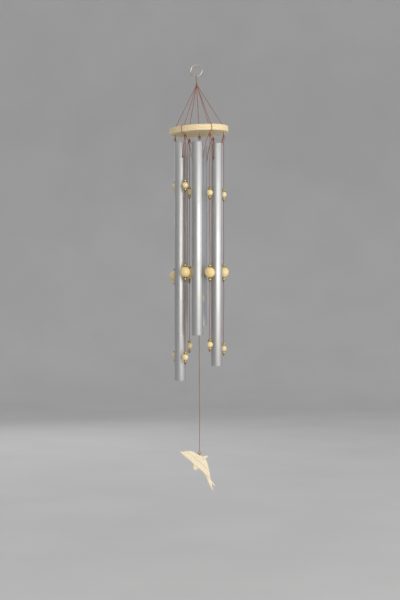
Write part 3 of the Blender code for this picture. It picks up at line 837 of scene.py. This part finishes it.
# %% Bead materials
def bead_wood_material():
    """Waxed light hardwood. Tone runs from cream at 0 to golden at 1."""
    material, tree, shader = new_material("waxed_bead_wood")
    place = add(tree, "ShaderNodeAttribute", attribute_name="bead").outputs["Vector"]
    tone = add(tree, "ShaderNodeAttribute", attribute_name="tone").outputs["Fac"]
    upright = add(tree, "ShaderNodeMapping",
                  {"Vector": place, "Rotation": (0.0, math.pi / 2, 0.0)})
    stops = ((0.0, "#fff4cf"), (0.55, "#fdf0c6"), (0.88, "#eed5a2"), (1.0, "#fbecc0"))
    colour, fibre = grain(tree, upright.outputs[0], spacing=0.0014, pith=0.020, stops=stops,
                          wander=0.0016)
    golden = add(tree, "ShaderNodeMix",
                 {0: tone, 6: linear("#fffdf2"), 7: linear("#fdf0cf")}, data_type="RGBA")
    tinted = add(tree, "ShaderNodeMix", {0: 1.0, 6: colour, 7: golden.outputs[2]},
                 data_type="RGBA", blend_type="MULTIPLY")
    relief = add(tree, "ShaderNodeBump",
                 {"Height": fibre, "Strength": 0.15, "Distance": 0.00008})
    feed(tree, shader, {"Base Color": tinted.outputs[2], "Normal": relief.outputs[0],
                        "Roughness": 0.34})
    return material


TARNISH_PER_METRE = 420.0    # blotches of about 2.4 mm


def brass_material():
    """Polished brass with a little tarnish. Gloss from the polish, brown from the air."""
    material, tree, shader = new_material("polished_brass")
    place = add(tree, "ShaderNodeAttribute", attribute_name="bead").outputs["Vector"]
    blotch = add(tree, "ShaderNodeTexNoise",
                 {"Vector": place, "Scale": TARNISH_PER_METRE, "Detail": 3.0})
    colour = add(tree, "ShaderNodeValToRGB", {"Fac": blotch.outputs["Fac"]},
                 stops=((0.30, "#8c7843"), (0.58, "#d6bf80")))
    gloss = add(tree, "ShaderNodeMapRange",
                {"Value": blotch.outputs["Fac"], "From Min": 0.3, "From Max": 0.7,
                 "To Min": 0.30, "To Max": 0.14})
    feed(tree, shader, {"Base Color": colour.outputs[0], "Roughness": gloss.outputs[0],
                        "Metallic": 1.0})
    return material


bead_wood = bead_wood_material()
brass = brass_material()

# %% Sizes of the beads and where each group is
# pitch is from the wood bead's middle to a brass bead's, and tones say how golden it is
SMALL = {"wood": 0.0060, "brass": 0.0032, "pitch": 0.0087, "tones": (0.0, 0.35)}
LARGE = {"wood": 0.0104, "brass": 0.0034, "pitch": 0.0135, "tones": (0.62, 1.0)}
BORE_R = 0.00108
STOP_KNOT_R = 0.0019
STOP_KNOT_SEAT = 0.65        # how far below its brass bead a stop knot is, in its radii


def group_reach(kind):
    """Half the length of a bead group."""
    return kind["pitch"] + kind["brass"]


def group_at(node, kind):
    """The middle of a bead group's wood bead, from the top of its CAD node."""
    top_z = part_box(node)[1][2]
    pole = math.sqrt(kind["brass"] ** 2 - BORE_R ** 2)
    return below(middle(node), top_z - kind["pitch"] - pole)


def stop_z(place, kind):
    """Where the cord leaves the stop knot under a bead group."""
    return place.z - group_reach(kind) - STOP_KNOT_R * KNOT_GRIP


def string_pieces(name, body, groups, nodes, seed):
    """Wood beads, brass beads and stop knots of one cord, as three pieces."""
    tones = random.Random(seed)
    wooden, metal, stops = [], [], []
    for place, kind in groups:
        wooden.append((place, kind["wood"], tones.uniform(*kind["tones"])))
        for side in (-1, 1):
            brass_at = below(place, place.z + side * kind["pitch"])
            metal.append((brass_at, kind["brass"], tones.random()))
        knot_z = place.z - group_reach(kind) - STOP_KNOT_R * STOP_KNOT_SEAT
        stops.append((below(place, knot_z), STOP_KNOT_R, tones.random()))
    made = []
    for label, bead, slot, look, points, lean in (
        ("wood_beads", unit_wood_bead, "bead_wood", bead_wood, wooden, 0.05),
        ("brass_beads", unit_brass_bead, "brass", brass, metal, 0.12),
        ("stop_knots", unit_knot, "cord", twine, stops, 0.3),
    ):
        title = f"{label}_{name}"
        piece = grow(title, beads_on_points, bead_points(title, points), Bead=bead,
                     Seed=seed, Lean=lean, Material=look)
        made.append(belongs(piece, body, slot, *nodes))
    return made


# %% Build the six bead strings with their cords
for seed, (name, degrees) in enumerate(STRING_ANGLES.items(), start=11):
    nodes = [f"beads_upper_{name}", f"beads_large_{name}", f"beads_lower_{name}"]
    groups = [(group_at(node, kind), kind) for node, kind in zip(nodes, (SMALL, LARGE, SMALL))]
    body = f"string_{name}"
    pieces = string_pieces(name, body, groups, nodes, seed)
    spans = [(place.z + group_reach(kind), place.z - group_reach(kind))
             for place, kind in groups]
    spans[-1] = (spans[-1][0], spans[-1][1] - STOP_KNOT_R)
    route = string_route(knots[name], math.radians(degrees), spans)
    hang_cord(f"bead_cord_{name}", body, body, route)

# %% Build the loop, the hangers and the middle hanger
hang_cord("loop_cord", "canopy", "hanging_loop", loop_route())
for name, degrees in STRING_ANGLES.items():
    route = hanger_route(math.radians(degrees), name in WRAPPED)
    hang_cord(f"hanger_cord_{name}", "canopy", f"hanger_{name}", route)
hang_cord("middle_hanger_cord", "canopy", "centre_hanger", centre_hanger_route())

# %% Build the slings of the tubes
string_names = list(STRING_ANGLES)
tube_boxes = {name: [Vector(corner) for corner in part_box(f"tube_{name}")]
              for name in TUBE_ANGLES}
TUBE_R = (tube_boxes["front"][1].x - tube_boxes["front"][0].x) / 2

for index, (name, degrees) in enumerate(TUBE_ANGLES.items()):
    left, right = knots[string_names[index - 1]], knots[string_names[index]]
    hole = below(middle(f"tube_{name}"), tube_boxes[name][1].z - TUBE_HOLE_DROP)
    route = sling_route(left, right, hole, math.radians(degrees), TUBE_R)
    hang_cord(f"sling_cord_{name}", f"sling_{name}", f"sling_{name}", route)
print("slings:", len(TUBE_ANGLES), "tube radius", round(TUBE_R, 4))

# %% Build the middle cord with its clapper beads, striker and sail bead
clapper_at = group_at("clapper_beads", SMALL)
striker_at = group_at("striker", LARGE)
sail_at = middle("sail_bead")
dolphin_back = anchors["dolphin_turn"]

stretches = []
stretch_top = centre_knot.z - RIM_KNOT_R * KNOT_GRIP
for title, body, node, beads_node, place, kind, turn, seed in (
    ("clapper_upper_cord", "clapper", "clapper_cord_upper", "clapper_beads",
     clapper_at, SMALL, 0.4, 31),
    ("clapper_lower_cord", "striker", "clapper_cord_lower", "striker",
     striker_at, LARGE, 2.1, 32),
):
    stretch_end = stop_z(place, kind)
    route = drop_route(stretch_top, place.z + group_reach(kind), stretch_end, turn)
    pieces = string_pieces(body, body, [(place, kind)], [beads_node], seed)
    stretches.append((title, body, node, route, pieces))
    stretch_top = stretch_end
for title, body, node, route, pieces in stretches:
    hang_cord(title, body, node, route)

sail_points = bead_points("sail_brass_bead", [(sail_at, SMALL["brass"], 0.4)])
sail_brass_bead = grow("sail_brass_bead", beads_on_points, sail_points,
                       Bead=unit_brass_bead, Seed=5, Lean=0.05, Material=brass)
belongs(sail_brass_bead, "sail", "brass", "sail_bead")
DOLPHIN_HOLE_DEPTH = 0.006
route = drop_route(stretch_top, sail_at.z + SMALL["brass"],
                   dolphin_back.z - DOLPHIN_HOLE_DEPTH + GAP, 4.0, steps=56)
hang_cord("sail_line", "sail", "sail_cord", route)
for template in (unit_wood_bead, unit_brass_bead, unit_knot):
    bpy.data.objects.remove(template)


# %% [markdown]
# ## The steel ring
# The ring is bent from wire, welded shut and nickel plated. It is a torus, but a little
# thicker where the weld was ground down, and that small swelling says welded ring. Nickel
# is warmer than chrome and slightly soft in its gloss.

# %% Build the ring
RUBS_PER_METRE = 320.0       # marks of about 3 mm


def nickel():
    """Nickel-plated steel: yellowish grey metal with fine rubbing marks from the hook."""
    material, tree, shader = new_material("nickel_plated_steel")
    place = add(tree, "ShaderNodeTexCoord").outputs["Object"]
    marks = add(tree, "ShaderNodeTexNoise",
                {"Vector": place, "Scale": RUBS_PER_METRE, "Detail": 4.0})
    colour = add(tree, "ShaderNodeValToRGB", {"Fac": marks.outputs["Fac"]},
                 stops=((0.30, "#b9b5ac"), (0.65, "#cbc7be")))
    gloss = add(tree, "ShaderNodeMapRange",
                {"Value": marks.outputs["Fac"], "To Min": 0.22, "To Max": 0.32})
    feed(tree, shader, {"Base Color": colour.outputs[0], "Roughness": gloss.outputs[0],
                        "Metallic": 1.0})
    return material


WELD_AT = 2.2                # radians round the ring from its top
WELD_HALF_WIDTH = 0.10       # radians
WELD_SWELL = 0.08            # the wire is this much thicker there


def welded_ring(ring_r, wire_r, centre, sides=96, wire_sides=20):
    """A torus in the X-Z plane, a little swollen at the weld."""
    work = bmesh.new()
    grid = []
    for step in range(sides):
        turn = math.tau * step / sides
        from_weld = math.remainder(turn - WELD_AT, math.tau)
        wire = wire_r * (1.0 + WELD_SWELL * math.exp(-(from_weld / WELD_HALF_WIDTH) ** 2))
        row = []
        for side in range(wire_sides):
            roll = math.tau * side / wire_sides
            reach = ring_r + wire * math.cos(roll)
            place = Vector((reach * math.sin(turn), wire * math.sin(roll),
                            reach * math.cos(turn)))
            row.append(work.verts.new(centre + place))
        grid.append(row)
    for step, row in enumerate(grid):
        after = grid[(step + 1) % sides]
        for side in range(wire_sides):
            turn = (side + 1) % wire_sides
            work.faces.new((row[side], after[side], after[turn], row[turn]))
    return mesh_from(work, "steel_ring")


ring_centre = middle("hang_ring")
ring = show("steel_ring", welded_ring(ring_centre.z - PIVOT_Z, RING_WIRE_R, ring_centre))
ring.data.materials.append(nickel())
belongs(ring, "ring", "ring_steel", "hang_ring")
print("ring:", len(ring.data.polygons), "faces")


# %% [markdown]
# ## The pine disc
# A slice of pine board, turned round on a lathe, sanded and drilled seven times. Turning a
# profile gives the board with its rounded edges, and a Boolean drills it. The drills here
# widen at both ends, because a sanded hole never has a sharp edge.

# %% Drilling
def drill(name, radius, depth, lip, sides=32, spare=0.001):
    """A cutter for a hole through a board, wider by a lip at both faces."""
    half = depth / 2
    past = half + spare
    wide = radius + lip
    profile = [(0.0, -past), (wide, -past), (wide, -half), (radius, lip - half),
               (radius, half - lip), (wide, half), (wide, past), (0.0, past)]
    return turned(name, profile, sides)


def carve(piece, cutters, sharp_from, material):
    """Cuts the cutters out of a piece, keeps the result as its mesh and finishes it."""
    for cutter in cutters:
        cut = piece.modifiers.new(cutter.name, "BOOLEAN")
        cut.solver = "EXACT"
        cut.object = cutter
    mesh = plain_mesh(piece, piece.name)
    piece.modifiers.clear()
    piece.data = mesh
    for cutter in cutters:
        bpy.data.objects.remove(cutter)
    mesh.set_sharp_from_angle(angle=math.radians(sharp_from))
    mesh.materials.clear()
    mesh.materials.append(material)


# %% Build the disc
DISC_EDGE = 0.0013
HOLE_R = 0.0023
HOLE_LIP = 0.0004
DISC_GRAIN_TURN = math.radians(-12)
side_r = DISC_R - DISC_EDGE
half_thick = DISC_THICK / 2
lower_edge = arc(DISC_EDGE, (side_r, DISC_EDGE - half_thick), -90, 0, 6)
upper_edge = arc(DISC_EDGE, (side_r, half_thick - DISC_EDGE), 0, 90, 6)
profile = [(0.0, -half_thick), *lower_edge, *upper_edge, (0.0, half_thick)]
disc_mesh = turned("pine_disc", profile, 160)
to_disc = TILT @ Matrix.Translation((0.0, 0.0, DISC_Z + half_thick))
disc_mesh.transform(to_disc)
disc = show("pine_disc", disc_mesh)

hole_places = [Vector()]
hole_places += [polar(math.radians(a), 0.0, KNOT_CIRCLE_R, 0.0)
                for a in STRING_ANGLES.values()]
drills = []
for place in hole_places:
    cutter_mesh = drill("drill", HOLE_R, DISC_THICK, HOLE_LIP)
    cutter_mesh.transform(to_disc @ Matrix.Translation(place))
    drills.append(show("drill", cutter_mesh))

pine_stops = ((0.0, "#f8e9c4"), (0.62, "#f4e2b6"), (0.90, "#e6cd9f"), (1.0, "#f5e5bc"))
disc_pine = wood("sanded_pine", pine_stops, spacing=0.0042, pith=0.046, wander=0.010,
                 roughness=0.55, turn=(0.0, 0.0, DISC_GRAIN_TURN), at=to_disc.translation)
carve(disc, drills, sharp_from=30, material=disc_pine)
belongs(disc, "canopy", "pale_pine", "disc")
print("disc:", len(disc.data.polygons), "faces after drilling")


# %% [markdown]
# ## The aluminium tubes
# Six lengths of drawn tube, 22 mm across with a 1.5 mm wall, cut square and deburred, each
# with a cross hole for its sling. Only the length differs, so one tree makes them all: it
# sweeps the wall's cross-section, a tall thin rectangle with eased corners, round a
# circle, drills it, turns it to its place on the circle and moves it there.

# %% The tube tree
TUBE_SIDES = 96
TUBE_WALL = 0.0015
TUBE_EASE = 0.0003
TUBE_HOLE_R = 0.0018


def tube_tree():
    tree, given = new_tree(
        "chime_tube", Length="Float", Radius="Float", Wall="Float", Ease="Float",
        HoleRadius="Float", HoleDrop="Float", Turn="Float", Place="Vector",
        Material="Material")
    half_wall = add(tree, "ShaderNodeMath", {0: given["Wall"], 1: 0.5}, operation="MULTIPLY")
    mid_r = add(tree, "ShaderNodeMath", {0: given["Radius"], 1: half_wall.outputs[0]},
                operation="SUBTRACT")
    circle = add(tree, "GeometryNodeCurvePrimitiveCircle",
                 {"Resolution": TUBE_SIDES, "Radius": mid_r.outputs[0]})
    upright = add(tree, "GeometryNodeSetCurveNormal", {"Curve": circle.outputs[0]},
                  mode="Z_UP")
    section = add(tree, "GeometryNodeCurvePrimitiveQuadrilateral",
                  {"Width": given["Wall"], "Height": given["Length"]})
    eased = add(tree, "GeometryNodeFilletCurve",
                {"Curve": section.outputs[0], "Count": 2, "Radius": given["Ease"]},
                mode="POLY")
    wall = add(tree, "GeometryNodeCurveToMesh",
               {"Curve": upright.outputs[0], "Profile Curve": eased.outputs[0]})
    half_length = add(tree, "ShaderNodeMath", {0: given["Length"], 1: 0.5},
                      operation="MULTIPLY")
    hole_z = add(tree, "ShaderNodeMath", {0: half_length.outputs[0], 1: given["HoleDrop"]},
                 operation="SUBTRACT")
    hole_at = add(tree, "ShaderNodeCombineXYZ", {"Z": hole_z.outputs[0]})
    reach = add(tree, "ShaderNodeMath", {0: given["Radius"], 1: 3.0}, operation="MULTIPLY")
    drill_bit = add(tree, "GeometryNodeMeshCylinder",
                    {"Vertices": 24, "Radius": given["HoleRadius"],
                     "Depth": reach.outputs[0]})
    across = add(tree, "GeometryNodeTransform",
                 {"Geometry": drill_bit.outputs[0], "Translation": hole_at.outputs[0],
                  "Rotation": (0.0, math.pi / 2, 0.0)})
    drilled = add(tree, "GeometryNodeMeshBoolean",
                  {"Mesh 1": wall.outputs[0], "Mesh 2": across.outputs[0]},
                  operation="DIFFERENCE", solver="EXACT")
    turn = add(tree, "ShaderNodeCombineXYZ", {"Z": given["Turn"]})
    placed = add(tree, "GeometryNodeTransform",
                 {"Geometry": drilled.outputs[0], "Translation": given["Place"],
                  "Rotation": turn.outputs[0]})
    smooth = add(tree, "GeometryNodeSetShadeSmooth", {"Geometry": placed.outputs[0]})
    end_tree(tree, smooth.outputs[0], given["Material"])
    return tree


chime_tube = tube_tree()


# %% [markdown]
# ## Satin aluminium
# Drawn tube comes off the die with fine lines along its length and no polish. The lines
# spread a highlight sideways into a broad soft stripe. Real lines are under 0.1 mm, too
# fine to show at this distance, so they are drawn about 0.7 mm wide and very faint.

# %% The tubes' material and the tubes
LINES_PER_METRE = 1400.0
SMUDGES_PER_METRE = 22.0     # hands have dulled it in patches of about 45 mm


def satin_aluminium():
    material, tree, shader = new_material("satin_drawn_aluminium")
    place = add(tree, "ShaderNodeTexCoord").outputs["Object"]
    drawn = add(tree, "ShaderNodeMapping",
                {"Vector": place, "Scale": (LINES_PER_METRE, LINES_PER_METRE, 5.0)})
    lines = add(tree, "ShaderNodeTexNoise",
                {"Vector": drawn.outputs[0], "Scale": 1.0, "Detail": 2.0})
    handled = add(tree, "ShaderNodeTexNoise",
                  {"Vector": place, "Scale": SMUDGES_PER_METRE, "Detail": 3.0})
    colour = add(tree, "ShaderNodeValToRGB", {"Fac": lines.outputs["Fac"]},
                 stops=((0.30, "#bfc1c2"), (0.70, "#cfd0d1")))
    gloss = add(tree, "ShaderNodeMapRange",
                {"Value": handled.outputs["Fac"], "From Min": 0.3, "From Max": 0.7,
                 "To Min": 0.44, "To Max": 0.53})
    relief = add(tree, "ShaderNodeBump",
                 {"Height": lines.outputs["Fac"], "Strength": 0.12, "Distance": 0.0001})
    feed(tree, shader, {"Base Color": colour.outputs[0], "Roughness": gloss.outputs[0],
                        "Normal": relief.outputs[0], "Metallic": 1.0})
    return material


aluminium = satin_aluminium()
for name, degrees in TUBE_ANGLES.items():
    low, high = tube_boxes[name]
    place = (low + high) / 2
    title = f"chime_tube_{name}"
    tube = grow(title, chime_tube, bpy.data.meshes.new(title), Length=high.z - low.z,
                Radius=TUBE_R, Wall=TUBE_WALL, Ease=TUBE_EASE, HoleRadius=TUBE_HOLE_R,
                HoleDrop=TUBE_HOLE_DROP, Turn=math.radians(degrees), Place=tuple(place),
                Material=aluminium)
    tube.data.set_sharp_from_angle(angle=math.radians(35))
    belongs(tube, f"tube_{name}", "tube_aluminium", f"tube_{name}")
    print(title, "length", round((high.z - low.z) * 1000), "mm,",
          len(tube.data.polygons), "faces")


# %% [markdown]
# ## The dolphin
# The sail is a dolphin sawn from 10 mm pine, its edges rounded over with sandpaper. The
# outline is a list of points in millimetres from the cord's hole, smooth between its
# corners. A Bevel modifier would have to give up at the thin flukes, where two edges meet.
# Here each point of the face sinks by its distance to the outline instead, along a quarter
# circle, so the thin parts simply become rounder, as they do under sandpaper.

# %% The outline
DOLPHIN_BALANCE = 0.0017     # it hangs this far aside, with its weight under the cord
DOLPHIN_YAW = math.radians(6)
DOLPHIN_HALF = 0.005
DOLPHIN_EASE = 0.0015
INNER_SPACING = 0.0025       # of the points inside the outline
RING_SLACK = 0.985           # a point this near to its ring's depth is still kept
GRID_FROM = 1.3              # the grid starts at this many times the deepest ring

# each point is (across, up, 1 at a corner or 0 where the outline is smooth)
DOLPHIN_OUTLINE = (
    (-37.0, 6.8, 1), (-33.4, 6.9, 0), (-30.0, 5.8, 1), (-26.0, 7.2, 0),
    (-19.4, 7.9, 0), (-13.0, 6.9, 0), (-6.5, 3.9, 0), (0.0, 0.2, 0),
    (4.8, -2.0, 0), (9.0, -2.6, 0), (18.4, -1.0, 1), (18.8, -3.4, 1),
    (14.4, -6.8, 0), (16.0, -11.8, 0), (18.2, -19.4, 0), (20.4, -28.0, 0),
    (22.2, -36.5, 0), (23.4, -44.0, 0), (25.2, -51.0, 0), (29.0, -55.8, 0),
    (34.0, -62.6, 1), (30.2, -60.2, 0), (26.8, -57.0, 1), (27.4, -64.0, 0),
    (30.6, -72.8, 1), (24.4, -65.0, 0), (20.0, -57.4, 0), (17.2, -49.8, 0),
    (13.4, -41.0, 0), (7.4, -34.0, 0), (-0.6, -27.0, 1), (-7.4, -30.8, 1),
    (-11.2, -27.4, 1), (-11.2, -17.2, 1), (-19.4, -9.8, 0), (-30.5, -0.4, 0),
)


def dolphin_outline():
    """The closed outline in metres, as 2-D points, smooth between its corners."""
    places = [Vector((x * MM - DOLPHIN_BALANCE, 0.0, z * MM)) for x, z, _ in DOLPHIN_OUTLINE]
    corners = [index for index, point in enumerate(DOLPHIN_OUTLINE) if point[2]]
    outline = []
    for start, end in zip(corners, corners[1:] + [corners[0] + len(places)]):
        stretch = [places[index % len(places)] for index in range(start, end + 1)]
        outline += smooth_route(stretch, per_span=5)[:-1]
    return [Vector((place.x, place.z)) for place in outline]


def distance_to(point, outline):
    """How far a 2-D point is from a closed outline."""
    best = math.inf
    for start, end in zip(outline, outline[1:] + outline[:1]):
        run = end - start
        part = max(0.0, min(1.0, (point - start).dot(run) / max(run.length_squared, 1e-15)))
        best = min(best, (point - start - run * part).length)
    return best


# %% Points inside the outline, and the board they make
def is_inside(point, outline):
    """Counts how often a ray from the point crosses the outline."""
    inside = False
    for start, end in zip(outline, outline[1:] + outline[:1]):
        if (start.y > point.y) != (end.y > point.y):
            part = (point.y - start.y) / (end.y - start.y)
            if point.x < start.x + part * (end.x - start.x):
                inside = not inside
    return inside


def inner_points(outline, depths, spacing):
    """Rings of points at the given depths, and a sparse grid further in."""
    found = []
    for before, here, after in zip(outline[-1:] + outline[:-1], outline,
                                   outline[1:] + outline[:1]):
        run = (after - before).normalized()
        for depth in depths:
            for inward in (Vector((run.y, -run.x)), Vector((-run.y, run.x))):
                point = here + inward * depth
                deep = distance_to(point, outline) > depth * RING_SLACK
                if deep and is_inside(point, outline):
                    found.append(point)
    low = Vector((min(p.x for p in outline), min(p.y for p in outline)))
    high = Vector((max(p.x for p in outline), max(p.y for p in outline)))
    for column in range(int((high.x - low.x) / spacing)):
        for row in range(int((high.y - low.y) / spacing)):
            point = low + Vector((column + 0.5 * (row % 2), row)) * spacing
            deep = distance_to(point, outline) > depths[-1] * GRID_FROM
            if deep and is_inside(point, outline):
                found.append(point)
    return found


def eased_board(name, outline, half, ease):
    """A flat board with the outline, its edges rounded by a quarter circle."""
    depths = [ease * (1 - math.cos(math.radians(a))) for a in (22.5, 45, 67.5, 90)]
    points = outline + inner_points(outline, depths, INNER_SPACING)
    places, _, triangles, *_ = delaunay_2d_cdt(
        points, [], [list(range(len(outline)))], 1, 1e-7)
    work = bmesh.new()
    for sign in (-1, 1):
        row = []
        for place in places:
            depth = min(ease, distance_to(place, outline))
            rise = math.sqrt(max(0.0, ease ** 2 - (ease - depth) ** 2))
            row.append(work.verts.new((place.x, sign * (half - ease + rise), place.y)))
        for triangle in triangles:
            work.faces.new([row[index] for index in triangle])
    rim = [edge for edge in work.edges if edge.is_boundary]
    bmesh.ops.bridge_loops(work, edges=rim)
    return mesh_from(work, name)


# %% [markdown]
# The board gets its hole for the cord, drilled down into the back, and a shallow dimple
# on both faces for the eye. Its wood is the same pine as the disc, but the grain runs
# along the body, from the beak down to the tail, so that the thin flukes don't snap off.

# %% Build the dolphin
EYE_AT = (-24.0, 1.2)        # millimetres from the cord's hole
EYE_BALL_R = 0.001375
EYE_BALL_OUT = 0.0007        # the cutting ball's middle stands off the face by this much
DOLPHIN_GRAIN_TURN = math.radians(-43)
outline = dolphin_outline()
dolphin_mesh = eased_board("wooden_dolphin", outline, DOLPHIN_HALF, DOLPHIN_EASE)
to_dolphin = Matrix.Translation(dolphin_back) @ Matrix.Rotation(DOLPHIN_YAW, 4, "Z")
dolphin_mesh.transform(to_dolphin)
dolphin = show("wooden_dolphin", dolphin_mesh)

cord_drill = drill("cord_drill", BORE_R, 2 * DOLPHIN_HOLE_DEPTH, lip=0.0002, sides=20)
cord_drill.transform(to_dolphin)
cutters = [show("cord_drill", cord_drill)]
for sign in (-1, 1):
    ball = turned("eye_drill", [(0.0, -1.0), *arc(1.0, (0.0, 0.0), -75, 75, 10), (0.0, 1.0)], 20)
    ball.transform(Matrix.Scale(EYE_BALL_R, 4))
    eye = Vector((EYE_AT[0] * MM, sign * (DOLPHIN_HALF + EYE_BALL_OUT), EYE_AT[1] * MM))
    ball.transform(to_dolphin @ Matrix.Translation(eye))
    cutters.append(show("eye_drill", ball))

dolphin_stops = ((0.0, "#fff6df"), (0.86, "#fef2d4"), (0.95, "#e3c493"), (1.0, "#fef3d8"))
dolphin_pine = wood("sawn_pine", dolphin_stops, spacing=0.0105, pith=0.0258, wander=0.005,
                    roughness=0.5, turn=(0.0, DOLPHIN_GRAIN_TURN, 0.0), at=dolphin_back)
carve(dolphin, cutters, sharp_from=40, material=dolphin_pine)
belongs(dolphin, "dolphin", "pale_pine", "dolphin")
print("dolphin:", len(dolphin.data.polygons), "faces")


# %% [markdown]
# ## Floor and light
# The stage is one pale sheet that starts as a floor and curves up far away on all sides,
# so that it has no edge of its own in the view. The world's sky gives most of the light,
# from all sides. A wide soft box in front on the right, level with the tubes, draws their
# bright stripes. It reaches down almost to the floor, so seen from behind the chime it
# leaves a bright band there. A cool one further round and a weak one behind keep the
# edges clear. Metal shows its surroundings, so the greys of the sheet and the sky count
# as much as the lamps do.

# %% Build the stage
MOTTLES_PER_METRE = 3.0      # soft blotches of about 33 cm
FLOOR_DROP = 0.16            # the floor lies this far below the dolphin's tail
FLOOR_Z = cad_box[0][2] - FLOOR_DROP


def stage_sheet():
    """A round floor that curves up into a low wall."""
    flat_r = 4.2
    bend_r = 1.6
    wall = 2.6
    bend = arc(bend_r, (flat_r, FLOOR_Z + bend_r), -90, 0, 12)
    profile = [(0.0, FLOOR_Z), (flat_r * 0.5, FLOOR_Z), *bend,
               (flat_r + bend_r, FLOOR_Z + bend_r + wall)]
    work = bmesh.new()
    chain = [work.verts.new((radius, 0.0, height)) for radius, height in profile]
    edges = [work.edges.new(pair) for pair in zip(chain, chain[1:])]
    bmesh.ops.spin(work, geom=chain + edges, cent=(0, 0, 0), axis=(0, 0, 1),
                   angle=math.tau, steps=96, use_merge=True)
    bmesh.ops.remove_doubles(work, verts=work.verts, dist=0.001)
    return show("stage_floor", mesh_from(work, "stage_floor", inside_out=True))


floor = stage_sheet()
paper, tree, shader = new_material("pale_studio_paper")
place = add(tree, "ShaderNodeTexCoord").outputs["Object"]
mottle = add(tree, "ShaderNodeTexNoise",
             {"Vector": place, "Scale": MOTTLES_PER_METRE, "Detail": 2.0})
paper_colour = add(tree, "ShaderNodeValToRGB", {"Fac": mottle.outputs["Fac"]},
                   stops=((0.3, "#bebebf"), (0.7, "#c3c3c4")))
feed(tree, shader, {"Base Color": paper_colour.outputs[0], "Roughness": 0.9})
floor.data.materials.append(paper)


# %% Hang the lights
def soft_box(name, azimuth, distance, height, size, watts, colour):
    """An area light aimed where the camera looks. Azimuth 0 is the front."""
    light = bpy.data.lights.new(name, "AREA")
    light.shape = "RECTANGLE"
    light.size, light.size_y = size
    light.energy = watts
    light.color = linear(colour)[:3]
    lamp = show(name, light)
    lamp.location = aim + polar(math.radians(azimuth), 0.0, distance, height)
    lamp.rotation_euler = (aim - lamp.location).to_track_quat("-Z", "Y").to_euler()


soft_box("key", azimuth=32, distance=2.8, height=0.25, size=(3.2, 1.5), watts=52,
         colour="#fff9f0")
soft_box("right_side", azimuth=88, distance=3.0, height=0.6, size=(1.8, 2.0), watts=15,
         colour="#eef3ff")
soft_box("back", azimuth=205, distance=3.0, height=1.0, size=(1.6, 1.6), watts=12,
         colour="#ffffff")

world = bpy.data.worlds.new("studio")
bpy.context.scene.world = world
world.use_nodes = True
feed(world.node_tree, world.node_tree.nodes["Background"],
     {"Color": linear("#f4f4f3"), "Strength": 0.9})
bpy.context.scene.view_settings.view_transform = "Standard"

# %% [markdown]
# ## The engineering model's box
# The box of the engineering model is printed at the end.

# %% Print the engineering model's box
print("CAD box", cad_box)
